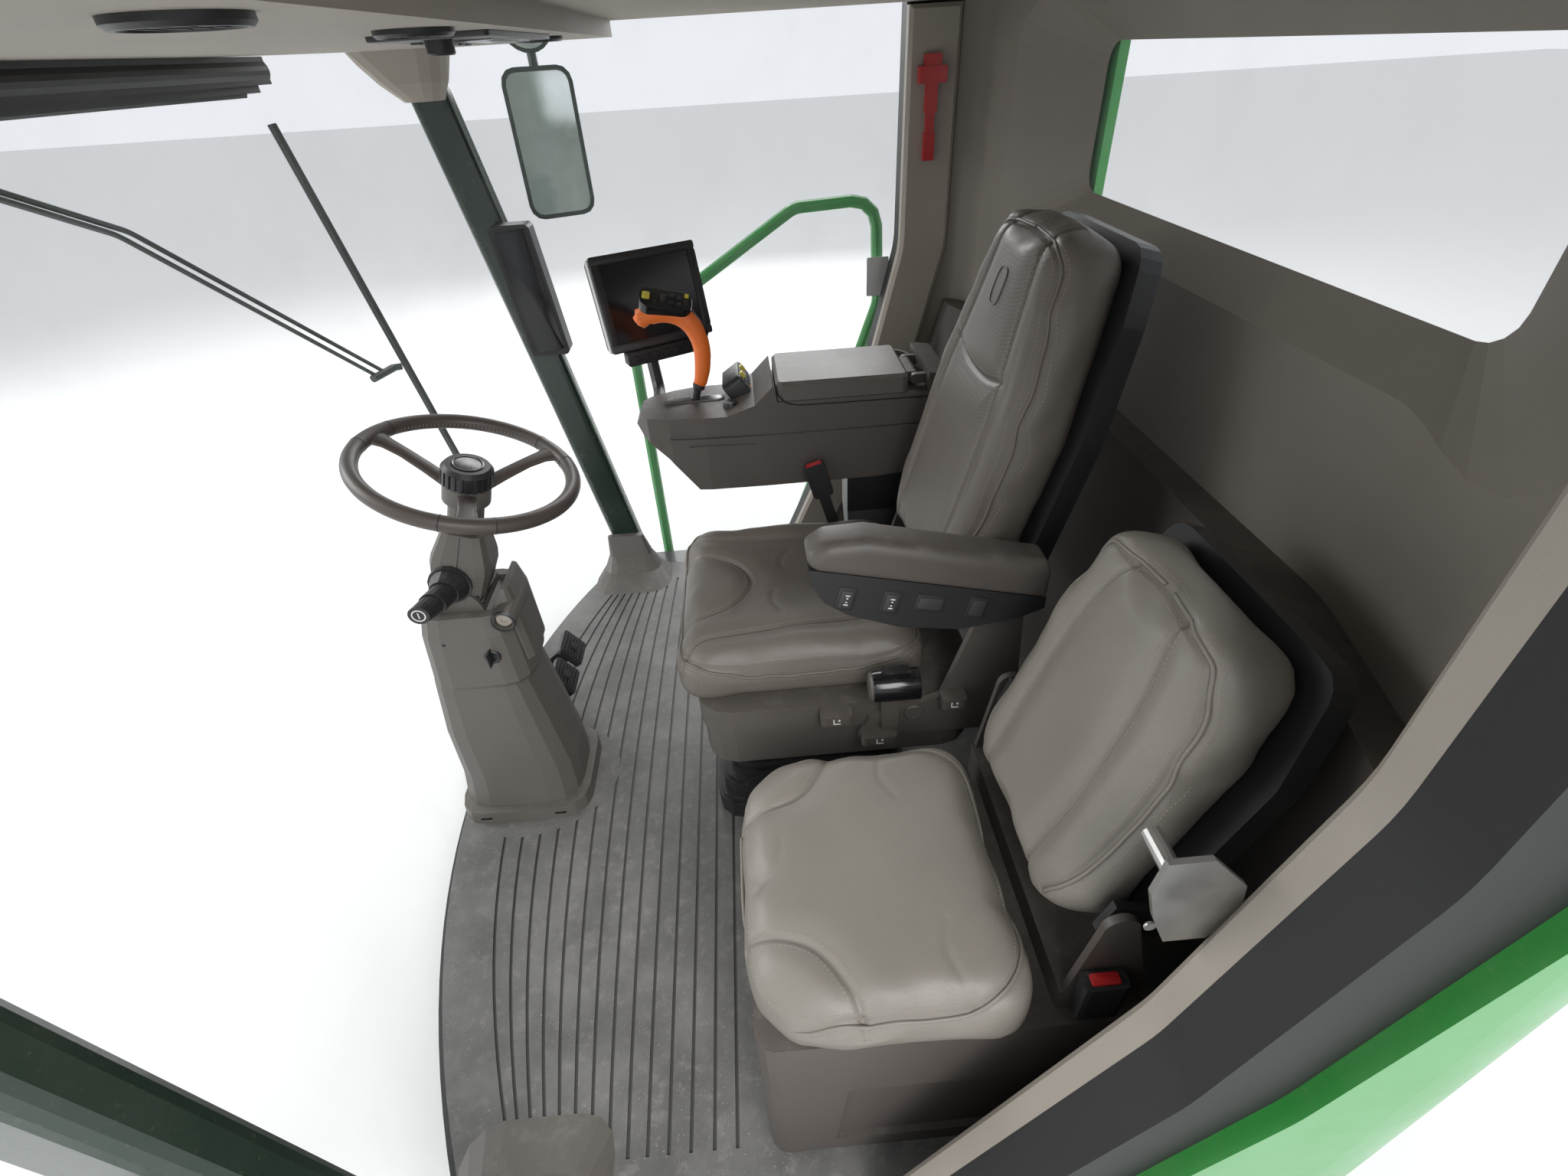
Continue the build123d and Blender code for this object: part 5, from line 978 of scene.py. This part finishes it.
# %% The drive lever
LEVER_Y = -0.424
GRIP = (   # X, Z, width along Y, depth square to the line, from the neck to the tip of the hook
    (0.119, 0.948, 0.020, 0.021), (0.112, 0.966, 0.027, 0.031), (0.105, 1.0, 0.034, 0.036),
    (0.103, 1.035, 0.039, 0.038), (0.111, 1.07, 0.042, 0.041), (0.128, 1.098, 0.044, 0.045),
    (0.154, 1.116, 0.045, 0.05), (0.182, 1.122, 0.044, 0.052), (0.206, 1.118, 0.041, 0.05),
    (0.226, 1.108, 0.036, 0.042), (0.236, 1.101, 0.024, 0.024),
)
stations = []
for i, (x, z, width, depth) in enumerate(GRIP):
    a, c = GRIP[max(i - 1, 0)], GRIP[min(i + 1, len(GRIP) - 1)]
    way = Vector((c[0] - a[0], 0, c[1] - a[1])).normalized()
    turned = Matrix((SIDE, way.cross(SIDE), way)).transposed().to_4x4()
    stations.append((Matrix.Translation((x, LEVER_Y, z)) @ turned, width, depth))
grip = Shape().loft(stations, sides=24, caps=True)
bmesh.ops.subdivide_edges(grip.b, edges=grip.b.edges[:], cuts=1, smooth=0.6, use_grid_fill=True)
grip_piece = grip.done("orange_lever_grip", "seat", orange_grip, sharp=70)
stem = Shape().turned(top_face(0.135, -0.43, 0.889), (
    (0.013, -0.002), (0.0125, 0.004), (0.0095, 0.012), (0.0085, 0.03)), sides=24)
stem.bar([(0.135, -0.43, 0.9), (0.128, -0.428, 0.925), (0.119, -0.424, 0.952)], 0.0085)
stem.turned(top_face(0.12, -0.4245, 0.944),
            ((0.0125, -0.004), (0.0135, 0.0), (0.0135, 0.008), (0.012, 0.012)), sides=24)
stem_piece = stem.done("lever_stem", "seat", dark_plastic)
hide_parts("drive_lever")
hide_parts("drive_lever")
plate = Shape()
plate_face = facing((0.168, LEVER_Y + 0.008, 1.139), (-0.97, -0.05, -0.24), (0.02, -0.8, 0.6))
plate.block(plate_face, 0.112, 0.05, 0.012, corner=0.02, edge=0.003, sink=0.016)
neck_face = facing((0.112, LEVER_Y + 0.004, 1.085), (-0.5, -0.05, -0.86), (-0.5, -0.5, 0.6))
plate.block(neck_face, 0.07, 0.034, 0.008, corner=0.014, edge=0.002, sink=0.02)
plate.done("lever_face_plate", "seat", gloss_black)
BUTTONS = (   # right, up, width and height on the plate
    (0.012, 0.008, 0.011, 0.008), (0.028, 0.006, 0.011, 0.008), (0.012, -0.008, 0.011, 0.008),
    (0.028, -0.01, 0.011, 0.008), (-0.006, 0.0, 0.012, 0.018), (0.042, -0.002, 0.009, 0.014),
)
buttons = Shape()
for x, y, w, h in BUTTONS:
    buttons.block(plate_face, w, h, 0.0145, corner=0.003, edge=0.0012, shift=(x, y))
buttons.done("lever_buttons", "seat", dark_plastic)
keys = Shape()
keys.block(plate_face, 0.016, 0.016, 0.0165, corner=0.003, edge=0.0016, shift=(-0.042, 0.0))
keys.block(plate_face, 0.009, 0.009, 0.0155, corner=0.0025, edge=0.0012, shift=(0.043, 0.014))
keys.done("lever_yellow_keys", "seat", yellow_key)
print("lever ready with", len(BUTTONS), "buttons")

# %% The console's keys and lines
CONSOLE_SIDE = -0.3118   # just proud of the console's face towards the seat
KEY_COLUMNS, KEY_ROWS = (-0.042, -0.021, 0.0, 0.021, 0.042), (0.022, 0.002, -0.018)
YELLOW_KEYS, ORANGE_KEY = ((0, 1), (0, 3)), (2, 1)      # row and column
slot_top = top_face(0.135, -0.43, 0.9142)
Shape().block(slot_top, 0.142, 0.036, 0.002, corner=0.0175).done("lever_slot_rim", "seat", cover_taupe)
Shape().block(slot_top, 0.128, 0.023, 0.0024, corner=0.0112, edge=0).done("lever_slot", "seat", gloss_black)
riser_face = facing((0.022, -0.456, 0.934), (0, -1, 0), (0.56, 0, 0.83))
Shape().block(riser_face, 0.112, 0.07, 0.016, corner=0.012, edge=0.003, sink=0.03).done(
    "key_panel", "seat", dark_plastic)
key_caps, yellow_caps, orange_caps = Shape(), Shape(), Shape()
for row, y in enumerate(KEY_ROWS):
    for column, x in enumerate(KEY_COLUMNS):
        caps = (yellow_caps if (row, column) in YELLOW_KEYS
                else orange_caps if (row, column) == ORANGE_KEY else key_caps)
        tall = 0.024 if caps is yellow_caps else 0.0185
        caps.block(riser_face, 0.0165, 0.0155, tall, corner=0.002, edge=0.001, shift=(x, y))
key_caps.done("console_keys", "seat", dark_key)
yellow_caps.done("console_yellow_keys", "seat", yellow_key)
orange_caps.done("console_orange_key", "seat", orange_grip)
Shape().turned(top_face(0.05, -0.37, 0.913), (
    (0.017, -0.002), (0.017, 0.004), (0.0145, 0.011), (0.0135, 0.014), (0.002, 0.0145)),
    sides=28).done("speed_dial", "seat", dark_plastic)
SEAMS = (   # a seam's radius, then its points' X and Z
    (0.0011, (0.19, 0.872), (0.15, 0.868), (0.0, 0.866), (-0.2, 0.866), (-0.42, 0.868)),
    (0.0009, (0.15, 0.85), (0.05, 0.848), (0.0, 0.846)),
    (0.0014, (-0.052, 0.965), (-0.062, 0.945), (-0.085, 0.932), (-0.12, 0.929), (-0.42, 0.929)),
)
lines = Shape()
for radius, *points in SEAMS:
    lines.bar([(x, CONSOLE_SIDE, z) for x, z in points], radius, sides=1)
lines.done("console_seams", "seat", gloss_black)
print("console ready")

# %% The monitor
screen_out = Vector((-0.45, 0.85, 0.28)).normalized()
screen_right = Vector((-0.88, -0.47, 0))
screen_right = (screen_right - screen_out * screen_right.dot(screen_out)).normalized()
screen_up = screen_out.cross(screen_right)
screen = facing((0.215, -0.6, 1.105), screen_right, screen_up)
SCREEN_W, SCREEN_H, BEZEL = 0.262, 0.212, 0.02
bezel = Shape()
for side in (1, -1):
    bezel.block(screen, SCREEN_W, BEZEL, 0.0055, corner=0.006, edge=0.0018,
                shift=(0, side * (SCREEN_H - BEZEL) / 2))
for side in (-1, 1):
    bezel.block(screen, BEZEL, 0.176, 0.0055, corner=0.006, edge=0.0018,
                shift=(side * (SCREEN_W - BEZEL) / 2, 0))
bezel.done("monitor_bezel", "seat", dark_plastic)
Shape().block(screen, 0.224, 0.174, 0.0012, edge=0).done("monitor_screen", "seat", gloss_black)
edge_face = facing(screen @ Vector((-SCREEN_W / 2, 0, -0.012)), -screen_out, screen_up)
Shape().block(edge_face, 0.018, 0.2, 0.003).done("monitor_side_strip", "seat", light_grey)
strip_face = facing(screen @ Vector((0.0, -0.122, -0.006)), screen_right, screen_up + screen_out * 0.35)
strip = Shape().block(strip_face, 0.2, 0.034, 0.012, corner=0.006, edge=0.002, sink=0.014)
for k in range(-3, 4):
    strip.block(strip_face, 0.018, 0.014, 0.0155, corner=0.003, edge=0.001, shift=(k * 0.026, 0))
strip.done("monitor_key_strip", "seat", dark_plastic)
print("monitor ready")

# %% [markdown]
# ## Switches and small trim beside the seat
# The armrest's outer face holds framed rocker switches, and the levers beside the seat carry small
# white pictures. They are drawn as a few plain strokes: generic marks for a seat, a tilt and a
# slide. Every frame is a plate with a smaller plate in it, so its edge catches the light.

# %% The armrest's switches and the seat's marks
rounded("armrest_pad", "armrest_top", "left_armrest", cover_taupe, 0.009)
ARMREST_SIDE = 0.338
ROCKERS = (   # X, Z, width, height and whether it carries marks
    (-0.117, 0.888, 0.022, 0.034, True), (-0.186, 0.874, 0.022, 0.034, True),
    (-0.247, 0.866, 0.04, 0.024, False), (-0.322, 0.85, 0.024, 0.032, False),
)
STROKES = ((0.008, 0.007), (0.003, 0.003), (-0.004, 0.003), (-0.009, 0.007))     # height and width
frames, rockers, marks = Shape(), Shape(), Shape()
for x, z, w, h, marked in ROCKERS:
    face = facing((x, ARMREST_SIDE, z), (-0.973, 0, -0.23), (-0.23, 0, 0.973))
    frames.block(face, w + 0.008, h + 0.008, 0.0016, corner=0.004)
    rockers.block(face, w - 0.002, h - 0.002, 0.0034, corner=0.0025, edge=0.0014)
    for y, width in STROKES if marked else ():
        marks.block(face, width, 0.0018, 0.0038, corner=0.0006, edge=0, shift=(0.001, y))
frames.done("rocker_frames", "left_armrest", dark_plastic)
rockers.done("rockers", "left_armrest", dark_key)
marks.done("rocker_marks", "left_armrest", white_mark)
seat_marks = Shape()
for x, z, y in ((-0.107, 0.568, 0.2923), (-0.185, 0.522, 0.3063), (-0.318, 0.602, 0.3063)):
    face = left_face(x, y, z)
    seat_marks.block(face, 0.0022, 0.012, 0.0006, corner=0.0007, edge=0, shift=(-0.006, 0.001))
    seat_marks.block(face, 0.013, 0.0022, 0.0006, corner=0.0007, edge=0, shift=(0.0, -0.0045))
    seat_marks.turned(face, ((0.0022, -0.0002), (0.0022, 0.0006), (0.0004, 0.0006)), sides=12,
                      shift=(0.004, 0.004))
seat_marks.done("seat_lever_marks", "seat", white_mark)
Shape().turned(left_face(-0.252, 0.274, 0.56), (
    (0.018, -0.001), (0.018, 0.003), (0.0165, 0.0045), (0.0135, 0.0045), (0.013, 0.003),
    (0.002, 0.0035))).done("bracket_cap", "seat", seat_plastic)
adjuster = Shape().turned(facing((-0.252, 0.292, 0.652), SIDE, (0, 0, 1)), (
    (0.0285, 0.0), (0.029, 0.002), (0.029, 0.078), (0.0275, 0.083), (0.018, 0.086),
    (0.002, 0.0865)), sides=48)
adjuster.block(facing((-0.21, 0.292, 0.681), (1, 0, 0), (0, -1, 0)), 0.05, 0.022, 0.008,
               corner=0.004, edge=0.0015, sink=0.006)
adjuster.done("height_adjuster", "seat", gloss_black)
for name, body, face, width, height in (
        ("belt_release", "seat", facing((-0.126, -0.275, 0.802), (0, -1, 0), (-0.96, 0, 0.27)),
         0.018, 0.036),
        ("instructor_belt_release", "cab", top_face(-0.372, 0.805, 0.632), 0.036, 0.015)):
    Shape().block(face, width, height, 0.003).done(name, body, red_gloss)
print("switches and marks ready")

# %% [markdown]
# ## Roof panel, door striker and the other trim
# A dark panel with a round knob and a small vent sits in the roof console over the windscreen.
# The striker that the door locks on is zinc plate with a black roller on one of its posts.

# %% Roof panel and striker
ROOF_Z = 1.5995
roof_face = under_face(0.36, -0.13, ROOF_Z)
panel = Shape().block(roof_face, 0.4, 0.15, 0.006, corner=0.008, edge=0.002)
panel.turned(roof_face, ((0.018, 0.004), (0.0175, 0.02), (0.0155, 0.022), (0.002, 0.0225)), sides=32,
             shift=(-0.155, 0))
for k in range(7):
    panel.block(roof_face, 0.026, 0.016, 0.0085, corner=0.003, edge=0.001,
                shift=(-0.085 + k * 0.036, -0.048))
panel.done("roof_panel", "cab", dark_plastic)
Shape().block(roof_face, 0.25, 0.06, 0.0075, corner=0.004, edge=0.0006, shift=(0.03, 0.02)).done(
    "roof_panel_window", "cab", gloss_black)
VENT_R, LOUVRE_PITCH = 0.033, 0.012
vents = Shape()
for y in (-0.46, 0.2, 0.62):
    vent_face = under_face(0.33, y, ROOF_Z)
    vents.turned(vent_face, ((0.042, -0.001), (0.042, 0.004), (0.039, 0.007), (0.035, 0.007),
                             (VENT_R, 0.002), (0.002, 0.002)), sides=40)
    for k in range(-2, 3):
        across = k * LOUVRE_PITCH
        half = math.sqrt(VENT_R ** 2 - across ** 2)
        vents.block(vent_face, 2 * half, 0.0022, 0.006, corner=0.0006, edge=0, shift=(0, across))
vents.done("roof_vents", "cab", dark_plastic)
STRIKER_X, STRIKER_Y, STRIKER_Z = -0.345, 0.878, 0.945
roller_face = facing((STRIKER_X - 0.008, STRIKER_Y - 0.002, STRIKER_Z - 0.034), (1, 0, 0), (0, 0, 1))
Shape().turned(roller_face, ((0.0105, 0.006), (0.0155, 0.008), (0.0155, 0.026), (0.0105, 0.028))).done(
    "striker_roller", "cab", dark_plastic)
plate_face = facing((STRIKER_X, STRIKER_Y, STRIKER_Z), (1, 0, 0), (0, 0, 1))
BOLT = ((0.006, -0.001), (0.006, 0.0008), (0.0048, 0.0022), (0.0021, 0.0024), (0.0018, 0.0008))
bolts = Shape()
for place in ((-0.03, 0.0), (0.012, 0.012), (0.02, -0.045)):
    bolts.turned(plate_face, BOLT, sides=16, shift=place)
bolts.done("striker_bolts", "cab", zinc)
Shape().block(left_face(-0.386, -0.979, 1.02), 0.062, 0.105, 0.0012, corner=0.004, edge=0.0004).done(
    "bare_sign", "cab", light_grey)
display_face = facing((0.569, -0.8678, 1.067), (-0.994, 0, 0.107), (0.107, 0, 0.994))
Shape().block(display_face, 0.084, 0.31, 0.0012, corner=0.008, edge=0.0004).done(
    "post_display_window", "cab", gloss_black)
print("trim ready")

# %% [markdown]
# ## Floor and light
# The cab stands on a plain pale floor under a pale world. Three large soft lamps light it: one over
# the open door, one in front of the windscreen and one on the right.

# %% Stage and lamps


floor_mesh = bpy.data.meshes.new("studio_floor")
b = bmesh.new()
bmesh.ops.create_grid(b, x_segments=1, y_segments=1, size=30.0)
b.to_mesh(floor_mesh)
b.free()
studio_floor = bpy.data.objects.new("studio_floor", floor_mesh)
bpy.context.scene.collection.objects.link(studio_floor)
floor_mesh.materials.append(Graph("pale_floor").set(Base_Color=(0.72, 0.72, 0.71), Roughness=0.8))

world = bpy.data.worlds.new("pale_world")
world.use_nodes = True
background = world.node_tree.nodes["Background"]
background.inputs["Color"].default_value = (0.93, 0.95, 1.0, 1)
background.inputs["Strength"].default_value = 1.0
bpy.context.scene.world = world


def lamp(name, place, target, size, power):
    """A square soft lamp that looks at a point."""
    data = bpy.data.lights.new(name, "AREA")
    data.size = size
    data.energy = power
    made = bpy.data.objects.new(name, data)
    made.location = place
    made.rotation_euler = (Vector(target) - Vector(place)).to_track_quat("-Z", "Y").to_euler()
    bpy.context.scene.collection.objects.link(made)


lamp("door_side", (-1.0, 4.5, 4.0), (0.0, 0.0, 0.9), 3.0, 260.0)
lamp("front_side", (5.0, -1.0, 3.2), (0.2, 0.0, 0.8), 3.0, 220.0)
lamp("right_side", (0.0, -5.0, 3.0), (0.0, 0.0, 1.0), 3.0, 200.0)
bpy.context.scene.view_settings.view_transform = "Standard"
print("stage and lamps ready")
